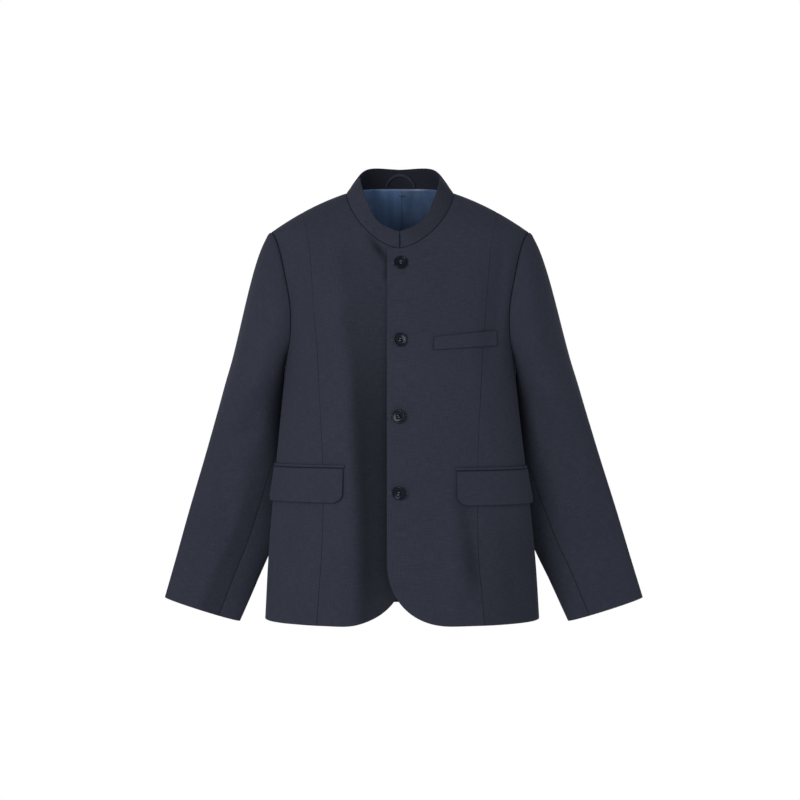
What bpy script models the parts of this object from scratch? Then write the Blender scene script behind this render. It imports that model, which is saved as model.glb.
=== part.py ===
"""A stand collar jacket filled out as when it is worn, built as the cloth pieces that are cut and sewn.

Metres, +Z up. The front faces -Y and +X is the wearer's left.
The origin lies midway between the two points where the shoulder seams meet the collar.
"""

import math
from collections import namedtuple

import bpy
import numpy as np

# Cloth
SHELL_WALL = 0.0020  # wool and interlining together
COLLAR_WALL = 0.0030
LINING_WALL = 0.0010
FLAP_WALL = 0.0024
JET_WALL = 0.0016
SEAM_GAP = 0.0003  # between two pieces at a seam
ARMHOLE_GAP = 0.0005  # the sleeve starts this much further from the armhole
LAID_GAP = 0.0010  # under a piece that lies on a panel, clear of the panel's facets
RIM_ORDER = np.array([0.11, 0.37, 1.0])  # both sides of a seam split their rims the same way

# Body: heights from the collar end of the shoulder seam, widths from the middle
HEM = -0.6973
SIDE_HEM = -0.6945  # the hem rises a little towards the side seams
BACK_HEM = -0.6800  # and on to the centre back
UNDERARM = -0.275
NECK_SIDE = 0.0875
NECK_DROP = 0.0955  # centre front neck below the shoulder seam's collar end
NECK_RISE = 0.0148  # centre back neck above it
NECK_ROUND = 1.62  # 2 is an oval neckline, less is more pointed
NECK_TAPER = 1.0  # how fast the neck narrows above the shoulder seam
SHOULDER_REACH = 0.211  # half width at the sleeve end of the shoulder seam
SHOULDER_DROP = 0.0640
SHOULDER_START = 0.322  # slope of the shoulder beside the collar
FRONT_ROUND = 2.35  # 2 is an oval section, more is squarer
BACK_ROUND = 2.20
HEM_SWAY = 0.0036  # the hem hangs this much towards the wearer's left

# Side line below the shoulder: height, half width
SIDE_LINE = [
    (-0.700, 0.2247),
    (-0.602, 0.2190),
    (-0.438, 0.2035),
    (-0.344, 0.1935),
    (-0.262, 0.1868),
    (-0.202, 0.1930),
    (-0.123, 0.2060),
    (-0.0640, 0.2110),
]
# Depth of the body at the centre lines: height, front, back
FRONT_LINE = [
    (-0.700, 0.114),
    (-0.580, 0.119),
    (-0.450, 0.125),
    (-0.350, 0.128),
    (-0.250, 0.126),
    (-0.150, 0.109),
    (-0.0955, 0.091),
    (-0.050, 0.075),
    (0.000, 0.052),
    (0.030, 0.036),
]
BACK_LINE = [
    (-0.700, 0.106),
    (-0.580, 0.102),
    (-0.450, 0.101),
    (-0.350, 0.109),
    (-0.250, 0.116),
    (-0.150, 0.115),
    (-0.070, 0.098),
    (-0.030, 0.083),
    (0.000, 0.067),
    (0.030, 0.052),
]
# Princess seam: height, distance from the centre front; it ends on the shoulder seam
PRINCESS_SHOULDER = 0.158
PRINCESS = [
    (-0.700, 0.1335),
    (-0.500, 0.1222),
    (-0.435, 0.1230),
    (-0.300, 0.1296),
    (-0.187, 0.1386),
    (-0.0995, 0.1448),
]

# Closure: the wearer's left front laps over the right one
OVERLAP = {+1: 0.0207, -1: 0.0105}  # how far each front runs on past the centre, by side
LAP_LIFT = 0.00125  # each front leaves the common surface by this much
LAP_REACH = 0.075  # and comes back to it here
UNDER_DIP = 0.0115  # the under front falls back beside the overlap
UNDER_FLOOR = 0.042  # fully up to here
UNDER_CREST = (0.097, 0.080)  # and not at all from here: below the chest, at the hem
CORNER_WIDE = 0.105
CORNER_HIGH = 0.105
CORNER_ROUND = 2.2

# Armhole, as shares of the turn from the side seam
ARMHOLE_FRONT = 0.305
ARMHOLE_BACK = 0.25
ARMHOLE_TOP_POWER = 0.60
ARMHOLE_FOOT_POWER = 0.95

# Soft folds of the body: turn 0 is the centre front, 1 the side and 2 the centre back
BodyFold = namedtuple("BodyFold", "side turn top foot depth half_turn")
BODY_FOLDS = [
    BodyFold(+1, 0.33, -0.50, -0.72, -0.0050, 0.13),
    BodyFold(-1, 0.25, -0.16, -0.80, +0.0035, 0.11),
    BodyFold(+1, 0.53, -0.06, -0.34, -0.0040, 0.15),
    BodyFold(-1, 0.53, -0.06, -0.34, -0.0035, 0.15),
    BodyFold(+1, 1.45, -0.12, -0.66, -0.0060, 0.17),
    BodyFold(-1, 1.48, -0.14, -0.60, -0.0055, 0.17),
    BodyFold(+1, 1.72, -0.38, -0.80, +0.0050, 0.16),
    BodyFold(-1, 1.70, -0.42, -0.80, +0.0045, 0.16),
]

# Sleeve rings below the armhole, in the front view: outer and inner edge, then the depth of these
# two edges, how far the ring reaches to the front and to the back of it, and the
# forearm seam's degrees round the ring, from the shoulder by the front
SleeveRing = namedtuple("SleeveRing", "out_x out_z in_x in_z middle_y front_deep back_deep forearm")
SLEEVE_RINGS = [
    SleeveRing(0.2855, -0.2900, 0.1897, -0.3350, 0.037, 0.079, 0.046, 162.0),
    SleeveRing(0.3050, -0.3550, 0.1950, -0.3880, 0.042, 0.061, 0.045, 158.0),
    SleeveRing(0.3293, -0.4350, 0.1990, -0.4750, 0.050, 0.036, 0.036, 133.0),
    SleeveRing(0.3554, -0.5200, 0.2110, -0.5630, 0.053, 0.026, 0.026, 119.0),
    SleeveRing(0.3784, -0.6000, 0.2443, -0.6420, 0.052, 0.023, 0.023, 117.0),
    SleeveRing(0.3978, -0.6665, 0.2728, -0.7060, 0.050, 0.023, 0.023, 117.0),
]
SLEEVE_SWING = {+1: 0.0110, -1: -0.0100}  # sideways shift for each metre down, by side
# How the sleeve leaves the armhole, as a share of the way to the first ring
CAP_LEAVES = {
    "top": (0.34, 0.00, -0.25),
    "front": (0.62, -0.34, -0.30),
    "under": (0.22, 0.30, -0.70),
    "back": (0.62, 0.34, -0.30),
}
# Sleeve seams at the armhole, in its steps round from the shoulder by the front
FOREARM_SEAM = 8
HINDARM_SEAM = 14
# Soft folds of the sleeves: share of the length, degrees round, and how they slant
SleeveFold = namedtuple("SleeveFold", "side along around slant depth half_along half_around")
SLEEVE_FOLDS = [
    SleeveFold(-1, 0.62, 70.0, 90.0, -0.0035, 0.20, 26.0),
    SleeveFold(-1, 0.40, 95.0, -120.0, -0.0040, 0.14, 28.0),
    SleeveFold(+1, 0.60, 75.0, 80.0, -0.0035, 0.20, 26.0),
    SleeveFold(+1, 0.42, 100.0, -110.0, -0.0040, 0.14, 28.0),
    SleeveFold(+1, 0.50, 262.0, 90.0, -0.0040, 0.18, 28.0),
    SleeveFold(-1, 0.52, 258.0, 90.0, -0.0040, 0.18, 28.0),
]

# Collar: place on the neckline (0 centre front, 1 shoulder, 2 centre back), height, lean inwards
CollarPlace = namedtuple("CollarPlace", "place height lean")
COLLAR = [
    CollarPlace(0.0, 0.0310, 25.0),
    CollarPlace(0.25, 0.0290, 26.0),
    CollarPlace(0.5, 0.0245, 29.0),
    CollarPlace(0.7, 0.0285, 33.0),
    CollarPlace(1.0, 0.0340, 40.0),
    CollarPlace(1.4, 0.0370, 31.0),
    CollarPlace(2.0, 0.0322, 15.0),
]
COLLAR_SPLIT = 0.0006  # half the slit between the collar ends at the seam
COLLAR_OPEN = 0.0016  # half the slit at the top

# Lining and hanger loop
LINING_FIRST_ROW = 1  # the lining starts this many rows of the back above the hem
PLEAT_SHARES = (0.10, 0.27)  # extra columns beside the centre back, as shares of a column
PLEAT_DEPTH = 0.0035
PLEAT_HALF = 0.012
LOOP_HALF = 0.0245
LOOP_RISE = 0.0210
LOOP_WIDE = 0.0045
LOOP_WALL = 0.0016

# Pockets
FLAP_TOP = -0.4455
FLAP_HIGH = 0.0555
FLAP_LONG = 0.155  # along the cloth
FLAP_CORNER = 0.014
FLAP_START = 0.088  # distance of the inner end from the centre front
FLAP_TURN = 0.945  # turn of the outer end
FLAP_FLARE = 0.0022
FLAP_FLARE_SIDE = 0.0004  # more at the outer end
FLAP_DROP = {+1: 0.0045, -1: 0.0}
JET_HIGH = 0.0052
# Breast welt's ends: distance from the centre front and height of the top and of the foot
WELT_INNER = ((0.0535, -0.2381), (0.0520, -0.2595))
WELT_OUTER = ((0.1550, -0.2261), (0.1550, -0.2515))

# Buttons
# Height, distance from the centre front, and how far each has turned on its thread, in degrees
ButtonPlace = namedtuple("ButtonPlace", "height aside turned nodding")
BUTTONS = [
    ButtonPlace(-0.1205, 0.0014, 0.0, 0.0),
    ButtonPlace(-0.2431, 0.0003, 5.0, 0.0),
    ButtonPlace(-0.3637, -0.0020, 20.0, 0.0),
    ButtonPlace(-0.4840, -0.0014, 20.0, 8.0),
]
BUTTON_RADIUS = 0.0109
BUTTON_HIGH = 0.0038
BUTTON_DISH = 0.0013
BUTTON_HOLE = 0.0009
BUTTON_HOLE_AT = 0.0018

# Rows and columns of the panels
BODY_STEPS = 10
ARMHOLE_STEPS = 9
YOKE_STEPS = 5  # sleeve to princess seam
NECK_STEPS = 3  # princess seam to collar
CORNER_STEPS = 5
FRONT_COLUMNS = 7
SIDE_COLUMNS = 5
BACK_COLUMNS = 8
BACK_YOKE = -0.085  # height at the centre back of the row that ends on the shoulder
CAP_STEPS = 5
RING_STEPS = 2
BUTTON_SIDES = 20


def smooth_table(rows):
    """A smooth function through (at, value) rows, at rising, that never overshoots them."""
    at, value = (np.array(column, float) for column in zip(*rows))
    step = np.diff(at)
    slope = np.diff(value) / step
    tangent = np.concatenate([slope[:1], np.zeros(len(at) - 2), slope[-1:]])
    for i in range(1, len(at) - 1):
        if slope[i - 1] * slope[i] > 0:
            tangent[i] = 2 * slope[i - 1] * slope[i] / (slope[i - 1] + slope[i])

    def curve(x):
        i = int(np.clip(np.searchsorted(at, x) - 1, 0, len(step) - 1))
        t = (x - at[i]) / step[i]
        start = (1 + 2 * t) * (1 - t) ** 2 * value[i] + t * (1 - t) ** 2 * step[i] * tangent[i]
        end = t * t * (3 - 2 * t) * value[i + 1] - t * t * (1 - t) * step[i] * tangent[i + 1]
        return start + end

    return curve


def fade(value, start, end):
    """0 at start, 1 at end and smooth between."""
    t = min(1.0, max(0.0, (value - start) / (end - start)))
    return t * t * (3 - 2 * t)


def unit(vector):
    return vector / np.linalg.norm(vector)


SHOULDER_SPAN = SHOULDER_REACH - NECK_SIDE
SHOULDER_BEND = (SHOULDER_DROP - SHOULDER_START * SHOULDER_SPAN) / SHOULDER_SPAN**2
side_line = smooth_table(SIDE_LINE)
front_line = smooth_table(FRONT_LINE)
back_line = smooth_table(BACK_LINE)


def shoulder_height(x):
    d = x - NECK_SIDE
    return -(SHOULDER_START * d + SHOULDER_BEND * d * d)


def half_width(z):
    """Half width of the body at height z; along the shoulder seam above the sleeve."""
    if z > 0:
        return NECK_SIDE - NECK_TAPER * z
    if z >= -SHOULDER_DROP:
        root = math.sqrt(SHOULDER_START**2 - 4 * SHOULDER_BEND * z)
        return NECK_SIDE + (root - SHOULDER_START) / (2 * SHOULDER_BEND)
    return side_line(z)


def turn_at(x, z):
    """Turn round the front at distance x from the centre."""
    share = min(1.0, abs(x) / half_width(z))
    return math.copysign(math.asin(share ** (FRONT_ROUND / 2)) * 2 / math.pi, x)


def lap(x, z, side):
    """How far a front leaves the common surface near the closure."""
    near = 1 - fade(x, OVERLAP[+1], LAP_REACH)
    if side > 0:
        return LAP_LIFT * near
    crest = UNDER_CREST[0] + (UNDER_CREST[1] - UNDER_CREST[0]) * fade(-z, 0.16, 0.60)
    fall = 1 - fade(x, UNDER_FLOOR, crest)
    return -LAP_LIFT * near - UNDER_DIP * fall * fade(-z, 0.10, 0.45)


def drape(turn, z, side):
    """The soft folds of the body, out from its plain form."""
    total = 0.0
    for fold in BODY_FOLDS:
        if fold.side == side and fold.foot < z < fold.top:
            across = 1 - fade(abs(turn - fold.turn), 0.0, fold.half_turn)
            middle = (fold.top + fold.foot) / 2
            along = 1 - fade(abs(z - middle), 0.25 * (fold.top - middle), fold.top - middle)
            total += fold.depth * across * along
    return total


def body(turn, z, side, lift=0.0):
    """A point of the body's outer face, moved out by lift, and the outward direction there."""
    angle = turn * math.pi / 2
    front = turn <= 1
    power = FRONT_ROUND if front else BACK_ROUND
    line = front_line if front else back_line
    wide, deep = half_width(z), line(z)
    across = math.copysign(abs(math.sin(angle)) ** (2 / power), math.sin(angle))
    along = max(abs(math.cos(angle)), 1e-9) ** (2 / power)
    step = 1e-5
    wide_slope = (half_width(z + step) - wide) / step
    deep_slope = (line(z + step) - deep) / step
    y_sign = -1 if front else 1
    outward = unit(
        np.array(
            [
                side * math.copysign(abs(across) ** (power - 1), across) / wide,
                y_sign * along ** (power - 1) / deep,
                -(abs(across) ** power * wide_slope / wide + along**power * deep_slope / deep),
            ]
        )
    )
    x, y = across * wide, y_sign * along * deep
    lift = lift + drape(turn, z, side)
    if front:
        lift += lap(x, z, side)
    sway = HEM_SWAY * fade(-z, 0.30, 0.70) * across * across
    return np.array([side * x + sway, y, z]) + outward * lift, outward


def armhole(degrees):
    """Turn and height on the armhole: 0 at the shoulder, 90 front, 180 underarm, 270 back."""
    angle = math.radians(degrees)
    middle, half = (UNDERARM - SHOULDER_DROP) / 2, (-SHOULDER_DROP - UNDERARM) / 2
    power = ARMHOLE_TOP_POWER if math.cos(angle) > 0 else ARMHOLE_FOOT_POWER
    bite = max(0.0, abs(math.sin(angle))) ** power
    if abs(math.sin(angle)) < 1e-9:
        bite = 0.0
    turn = 1 - ARMHOLE_FRONT * bite if math.sin(angle) >= 0 else 1 + ARMHOLE_BACK * bite
    return turn, middle + half * math.cos(angle)


def front_neck(share):
    """Distance from the centre and height on the front neckline, from the centre to the shoulder."""
    angle = share * math.pi / 2
    x = NECK_SIDE * math.sin(angle) ** (2 / NECK_ROUND)
    return x, -NECK_DROP * max(0.0, math.cos(angle)) ** (2 / NECK_ROUND)


def grid_points(cells, side, lift=0.0):
    """Points and outward directions for rows of (turn, height) cells."""
    pairs = [[body(turn, z, side, lift) for turn, z in row] for row in cells]
    points = np.array([[p for p, _ in row] for row in pairs])
    return points, np.array([[n for _, n in row] for row in pairs])


def draw_in(points, gap):
    """Moves the edges of a grid in by gap, within the surface."""
    moved = points.copy()
    for axis, edge, inner in ((0, 0, 1), (0, -1, -2), (1, 0, 1), (1, -1, -2)):
        line = points[edge] if axis == 0 else points[:, edge]
        beside = points[inner] if axis == 0 else points[:, inner]
        along = np.gradient(line, axis=0)
        along /= np.linalg.norm(along, axis=1, keepdims=True)
        inward = beside - line
        inward -= (inward * along).sum(axis=1, keepdims=True) * along
        inward *= gap / np.linalg.norm(inward, axis=1, keepdims=True)
        if axis == 0:
            moved[edge] += inward
        else:
            moved[:, edge] += inward
    return moved


def material(name, colour, rough):
    made = bpy.data.materials.get(name) or bpy.data.materials.new(name)
    made.use_nodes = True
    shader = made.node_tree.nodes["Principled BSDF"]
    shader.inputs["Base Color"].default_value = (*colour, 1.0)
    shader.inputs["Roughness"].default_value = rough
    return made


def add_solid(name, points, faces, slot):
    """A closed mesh object with its faces turned outwards."""
    mesh = bpy.data.meshes.new(name)
    mesh.from_pydata([tuple(map(float, p)) for p in points], [], faces)
    mesh.calc_loop_triangles()
    corners = np.array([tuple(t.vertices) for t in mesh.loop_triangles])
    a, b, c = (np.array(points)[corners[:, k]] for k in range(3))
    if np.einsum("ij,ij->i", a, np.cross(b, c)).sum() < 0:
        mesh.flip_normals()
    mesh.materials.append(slot)
    made = bpy.data.objects.new(name, mesh)
    bpy.context.scene.collection.objects.link(made)
    return made


def add_wall(name, outer, inner, slot):
    """A wall between two grids of the same size, closed round its edges."""
    rows, columns = outer.shape[:2]
    points = np.concatenate([outer.reshape(-1, 3), inner.reshape(-1, 3)])
    back = rows * columns
    faces = []
    for r in range(rows - 1):
        for c in range(columns - 1):
            a = r * columns + c
            b, d, e = a + 1, a + columns, a + columns + 1
            if np.linalg.norm(points[a] - points[e]) < np.linalg.norm(points[b] - points[d]):
                pair = [(a, b, e), (a, e, d)]
            else:
                pair = [(a, b, d), (b, e, d)]
            faces += pair + [(back + k, back + j, back + i) for i, j, k in pair]
    rim = list(range(columns))
    rim += [r * columns + columns - 1 for r in range(1, rows)]
    rim += [(rows - 1) * columns + c for c in range(columns - 2, -1, -1)]
    rim += [r * columns for r in range(rows - 2, 0, -1)]
    for a, b in zip(rim, rim[1:] + rim[:1]):
        if points[a] @ RIM_ORDER > points[b] @ RIM_ORDER:
            faces += [(b, a, back + b), (a, back + a, back + b)]
        else:
            faces += [(b, a, back + a), (b, back + a, back + b)]
    return add_solid(name, points, faces, slot)


def add_panel(name, cells, side, slot):
    """A shell panel on the body through rows of (turn, height) cells."""
    points, outward = grid_points(cells, side)
    outer = draw_in(points, SEAM_GAP / 2)
    return add_wall(name, outer, outer - SHELL_WALL * outward, slot)


PRINCESS_TOP = shoulder_height(PRINCESS_SHOULDER)
princess = smooth_table(PRINCESS + [(PRINCESS_TOP, PRINCESS_SHOULDER)])
SEAM_HEIGHTS = list(np.linspace(HEM, UNDERARM, BODY_STEPS + 1))
SIDE_HEIGHTS = [SIDE_HEM] + SEAM_HEIGHTS[1:]
PRINCESS_HEIGHTS = SEAM_HEIGHTS + list(np.linspace(UNDERARM, PRINCESS_TOP, ARMHOLE_STEPS + 1))[1:]
YOKE_HEIGHTS = list(np.linspace(-SHOULDER_DROP, PRINCESS_TOP, YOKE_STEPS + 1))
NECK_HEIGHTS = list(np.linspace(PRINCESS_TOP, 0.0, NECK_STEPS + 1))


def front_cells(overlap):
    """Rows of a centre front, from the hem to the neckline, from its edge to the princess seam."""
    right = [(princess(z), z) for z in PRINCESS_HEIGHTS] + [(half_width(z), z) for z in NECK_HEIGHTS[1:]]
    corner_x, corner_z = CORNER_WIDE - overlap, HEM + CORNER_HIGH
    left = []
    for angle in np.linspace(0, math.pi / 2, CORNER_STEPS + 1):
        x = corner_x - CORNER_WIDE * math.sin(angle) ** (2 / CORNER_ROUND)
        left.append((x, corner_z - CORNER_HIGH * max(0.0, math.cos(angle)) ** (2 / CORNER_ROUND)))
    level = UNDERARM - 0.01
    straight = list(np.linspace(corner_z, level, BODY_STEPS - CORNER_STEPS + 1))[1:]
    straight += list(np.linspace(level, -NECK_DROP, ARMHOLE_STEPS + NECK_STEPS + 1))[1:]
    left += [(-overlap, z) for z in straight]
    neck = [(-overlap, -NECK_DROP)] + [front_neck(c / FRONT_COLUMNS) for c in range(FRONT_COLUMNS + 1)]
    across = [(x + overlap) / (NECK_SIDE + overlap) for x, _ in neck]
    up = [1 + z / NECK_DROP for _, z in neck]
    cells = []
    for (left_x, left_z), (right_x, right_z) in zip(left, right):
        row = []
        for a, u in zip(across, up):
            x, z = left_x + (right_x - left_x) * a, left_z + (right_z - left_z) * u
            row.append((turn_at(x, z), z))
        cells.append(row)
    return cells


def ruled_cells(left, right, shares):
    return [
        [(a[0] + (b[0] - a[0]) * s, a[1] + (b[1] - a[1]) * s) for s in shares]
        for a, b in zip(left, right)
    ]


def side_front_cells():
    """Rows of a side front, from the princess seam to the side seam and armhole."""
    left = [(turn_at(princess(z), z), z) for z in PRINCESS_HEIGHTS]
    right = [(1.0, z) for z in SIDE_HEIGHTS]
    right += [armhole(180 - 180 * k / ARMHOLE_STEPS) for k in range(1, ARMHOLE_STEPS + 1)]
    return ruled_cells(left, right, np.linspace(0, 1, SIDE_COLUMNS + 1))


def back_cells():
    """Rows of half the back, from the centre back to the side seam, armhole and shoulder seam."""
    outer = [(1.0, z) for z in SIDE_HEIGHTS]
    outer += [armhole(180 + 180 * k / ARMHOLE_STEPS) for k in range(1, ARMHOLE_STEPS + 1)]
    outer += [(1.0, z) for z in YOKE_HEIGHTS[1:] + NECK_HEIGHTS[1:]]
    middle = [BACK_HEM] + SEAM_HEIGHTS[1:] + list(np.linspace(UNDERARM, BACK_YOKE, ARMHOLE_STEPS + 1))[1:]
    middle += list(np.linspace(BACK_YOKE, NECK_RISE, YOKE_STEPS + NECK_STEPS + 1))[1:]
    shares = np.linspace(0, 1, BACK_COLUMNS + 1)
    cells = []
    for (turn, side_z), middle_z in zip(outer, middle):
        cells.append([(2 - (2 - turn) * c, middle_z + (side_z - middle_z) * c**3) for c in shares])
    return cells


def back_grid():
    """Points and outward directions of the back, across from side to side."""
    cells = back_cells()
    one, one_out = grid_points(cells, -1)
    other, other_out = grid_points([row[1:] for row in cells], +1)
    points = np.concatenate([one[:, ::-1], other], axis=1)
    outward = np.concatenate([one_out[:, ::-1], other_out], axis=1)
    return draw_in(points, SEAM_GAP / 2), outward


def add_back(slot):
    outer, outward = back_grid()
    add_wall("back", outer, outer - SHELL_WALL * outward, slot)


def add_lining(slot):
    """The back lining on the inside of the back, with a centre pleat that stands into the jacket."""
    points, outward = (grid[LINING_FIRST_ROW:] for grid in back_grid())
    middle = BACK_COLUMNS
    places = list(range(1, middle)) + [middle - s for s in reversed(PLEAT_SHARES)] + [middle]
    places += [middle + s for s in PLEAT_SHARES] + list(range(middle + 1, 2 * middle))
    columns = []
    for place in places:
        k = int(place)
        share = place - k
        columns.append([g[:, k] * (1 - share) + g[:, k + 1] * share for g in (points, outward)])
    points = np.stack([p for p, _ in columns], axis=1)
    outward = np.stack([n for _, n in columns], axis=1)
    pleat = PLEAT_DEPTH * np.clip(1 - np.abs(points[..., :1]) / PLEAT_HALF, 0, 1)
    outer = points - outward * (SHELL_WALL + SEAM_GAP + pleat)
    add_wall("back_lining", outer, outer - LINING_WALL * outward, slot)


def sleeve_rings(side, degrees):
    """Points of the armhole and of each sleeve ring at one angle round the sleeve."""
    angle = math.radians(degrees)
    turn, z = armhole(degrees)
    points = [body(turn, z, side)[0]]
    for ring in SLEEVE_RINGS:
        out_edge = np.array([ring.out_x, ring.out_z])
        in_edge = np.array([ring.in_x, ring.in_z])
        x, z = (out_edge + in_edge) / 2 + (out_edge - in_edge) / 2 * math.cos(angle)
        outside = (1 + math.cos(angle)) / 2
        x += SLEEVE_SWING[side] * (-SHOULDER_DROP - z) * max(outside, fade(-z, 0.42, 0.64))
        deep = ring.front_deep if math.sin(angle) > 0 else ring.back_deep
        points.append(np.array([side * x, ring.middle_y - deep * math.sin(angle), z]))
    return np.array(points)


RING_CENTRES = np.array(
    [(0.19, 0.0, (UNDERARM - SHOULDER_DROP) / 2)]
    + [((r.out_x + r.in_x) / 2, r.middle_y, (r.out_z + r.in_z) / 2) for r in SLEEVE_RINGS]
)
RING_KNOTS = np.concatenate([[0], np.cumsum(np.linalg.norm(np.diff(RING_CENTRES, axis=0), axis=1))])
ARMHOLE_STEP = 180 / ARMHOLE_STEPS
FOREARM_DEGREES = [FOREARM_SEAM * ARMHOLE_STEP] + [r.forearm for r in SLEEVE_RINGS]
forearm_seam = smooth_table(list(zip(RING_KNOTS, FOREARM_DEGREES)))


def sleeve_point(side, degrees, at):
    """A point of the sleeve, at degrees round it and at a distance down from the armhole."""
    rings = sleeve_rings(side, degrees)
    angle = math.radians(degrees)
    k = int(np.clip(np.searchsorted(RING_KNOTS, at) - 1, 0, len(rings) - 2))
    tangents = []
    for ring in (k, k + 1):
        before, after = max(ring - 1, 0), min(ring + 1, len(rings) - 1)
        tangents.append((rings[after] - rings[before]) / (RING_KNOTS[after] - RING_KNOTS[before]))
    if k == 0:
        weights = {
            "top": max(0.0, math.cos(angle)) ** 2,
            "front": max(0.0, math.sin(angle)) ** 2,
            "under": max(0.0, -math.cos(angle)) ** 2,
            "back": max(0.0, -math.sin(angle)) ** 2,
        }
        leave = sum(weights[name] * np.array(CAP_LEAVES[name]) for name in weights) * np.array([side, 1, 1])
        tangents[0] = leave * np.linalg.norm(rings[1] - rings[0]) / RING_KNOTS[1]
    step = RING_KNOTS[k + 1] - RING_KNOTS[k]
    t = (at - RING_KNOTS[k]) / step
    start = (1 + 2 * t) * (1 - t) ** 2 * rings[k] + t * (1 - t) ** 2 * step * tangents[0]
    end = t * t * (3 - 2 * t) * rings[k + 1] - t * t * (1 - t) * step * tangents[1]
    return start + end


def sleeve_drape(side, along, degrees):
    total = 0.0
    for fold in SLEEVE_FOLDS:
        if fold.side == side:
            away = degrees - fold.around - fold.slant * (along - fold.along)
            away = (away + 180) % 360 - 180
            across = 1 - fade(abs(away), 0.0, fold.half_around)
            total += fold.depth * across * (1 - fade(abs(along - fold.along), 0.0, fold.half_along))
    return total


def add_sleeve_part(name, side, upper, slot):
    """The upper or the under part of a sleeve between its two seams, from the armhole to the cuff."""
    stations = list(np.linspace(0, RING_KNOTS[1], CAP_STEPS + 1))
    for low, high in zip(RING_KNOTS[1:], RING_KNOTS[2:]):
        stations += list(np.linspace(low, high, RING_STEPS + 1))[1:]
    hindarm = HINDARM_SEAM * ARMHOLE_STEP
    if upper:
        columns = FOREARM_SEAM - HINDARM_SEAM + 2 * ARMHOLE_STEPS
        angles = np.array([np.linspace(hindarm - 360, forearm_seam(at), columns + 1) for at in stations])
    else:
        columns = HINDARM_SEAM - FOREARM_SEAM
        angles = np.array([np.linspace(forearm_seam(at), hindarm, columns + 1) for at in stations])

    def grid(turned):
        rows = zip(stations, angles + turned)
        return np.array([[sleeve_point(side, degrees, at) for degrees in row] for at, row in rows])

    points = grid(0.0)
    around, down = grid(0.5) - grid(-0.5), np.gradient(points, axis=0)
    outward = np.cross(around, down) * side
    outward /= np.linalg.norm(outward, axis=2, keepdims=True)
    shares = np.array(stations) / RING_KNOTS[-1]
    folds = np.array([[sleeve_drape(side, s, a) for a in row] for s, row in zip(shares, angles)])
    points = points + outward * folds[..., None]
    outer = draw_in(points, SEAM_GAP / 2)
    outer[0] += ARMHOLE_GAP * np.array([unit(step) for step in points[1] - points[0]])
    wall = outward.copy()
    for c, degrees in enumerate(angles[0]):
        wall[0, c] = body(*armhole(degrees % 360), side)[1]
    return add_wall(name, outer, outer - SHELL_WALL * wall, slot)


def neckline(place):
    """Point and outward direction on the neckline for places 0 (left end) to 4 (right end)."""
    side, half = (+1, place) if place <= 2 else (-1, 4 - place)
    if half <= 1:
        x, z = front_neck(half)
        return body(turn_at(x, z), z, side)
    return body(half, NECK_RISE * (1 - (2 - half) ** 3), side)


collar_height = smooth_table([(c.place, c.height) for c in COLLAR])
collar_lean = smooth_table([(c.place, c.lean) for c in COLLAR])


def collar_frame(place):
    """Seam point, outward direction of the body, and the collar's own up and outward directions."""
    base, outward = neckline(place)
    step = 0.01
    after, before = neckline(min(4, place + step))[0], neckline(max(0, place - step))[0]
    along = unit(after - before)
    upright = unit(np.array([0, 0, 1]) - along[2] * along)
    lean = math.radians(collar_lean(min(place, 4 - place)))
    rise = math.cos(lean) * upright + math.sin(lean) * unit(np.cross(upright, along))
    return base, outward, rise, np.cross(along, rise)


def add_collar(slot):
    """The stand: a band on the neckline whose ends meet at the centre front."""
    places = list(np.linspace(0, 1, FRONT_COLUMNS + 1))
    places += list(np.linspace(1, 3, 2 * BACK_COLUMNS + 1))[1:]
    places += list(np.linspace(3, 4, FRONT_COLUMNS + 1))[1:]
    shares = [0.0, 0.5, 1.0]
    outer, inner = [[] for _ in shares], [[] for _ in shares]
    for place in places:
        base, outward, rise, across = collar_frame(place)
        high = collar_height(min(place, 4 - place))
        for r, share in enumerate(shares):
            point = base + rise * (SEAM_GAP / 2 + share * (high - SEAM_GAP / 2))
            wall = outward if r == 0 else across
            ends = COLLAR_SPLIT + (COLLAR_OPEN - COLLAR_SPLIT) * share
            pair = [point, point - COLLAR_WALL * wall]
            if place in (places[0], places[-1]):
                for p in pair:
                    p[0] = ends if place < 2 else -ends
            outer[r].append(pair[0])
            inner[r].append(pair[1])
    add_wall("collar", np.array(outer), np.array(inner), slot)


def add_hanger_loop(slot):
    """An arch of cloth strip on the inside of the back collar."""
    wide = half_width(NECK_RISE)
    sections = []
    for angle in np.linspace(0, math.pi, 13):
        x, h = LOOP_HALF * math.cos(angle), 0.0022 + LOOP_RISE * math.sin(angle)
        tangent = unit(np.array([-LOOP_HALF * math.sin(angle), LOOP_RISE * math.cos(angle)]))
        section = []
        for half, deep in ((-0.5, 0), (0.5, 0), (0.5, 1), (-0.5, 1)):
            at_x = x - tangent[1] * half * LOOP_WIDE
            at_h = h + tangent[0] * half * LOOP_WIDE
            share = (abs(at_x) / wide) ** (BACK_ROUND / 2)
            base, _, rise, across = collar_frame(2 - math.copysign(math.asin(share) * 2 / math.pi, at_x))
            section.append(base + rise * at_h - across * (COLLAR_WALL + LAID_GAP + deep * LOOP_WALL))
        sections.append(section)
    points = [p for section in sections for p in section]
    faces = [(3, 2, 1, 0)]
    for k in range(len(sections) - 1):
        for a in range(4):
            b = (a + 1) % 4
            faces.append((4 * k + a, 4 * k + b, 4 * k + 4 + b, 4 * k + 4 + a))
    last = 4 * (len(sections) - 1)
    faces.append((last, last + 1, last + 2, last + 3))
    add_solid("hanger_loop", points, faces, slot)


def flap_turns(widen=0.0):
    """Turns of a flap's inner and outer ends at its top edge."""
    return turn_at(FLAP_START - widen, FLAP_TOP), FLAP_TURN + widen / 0.3


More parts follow.
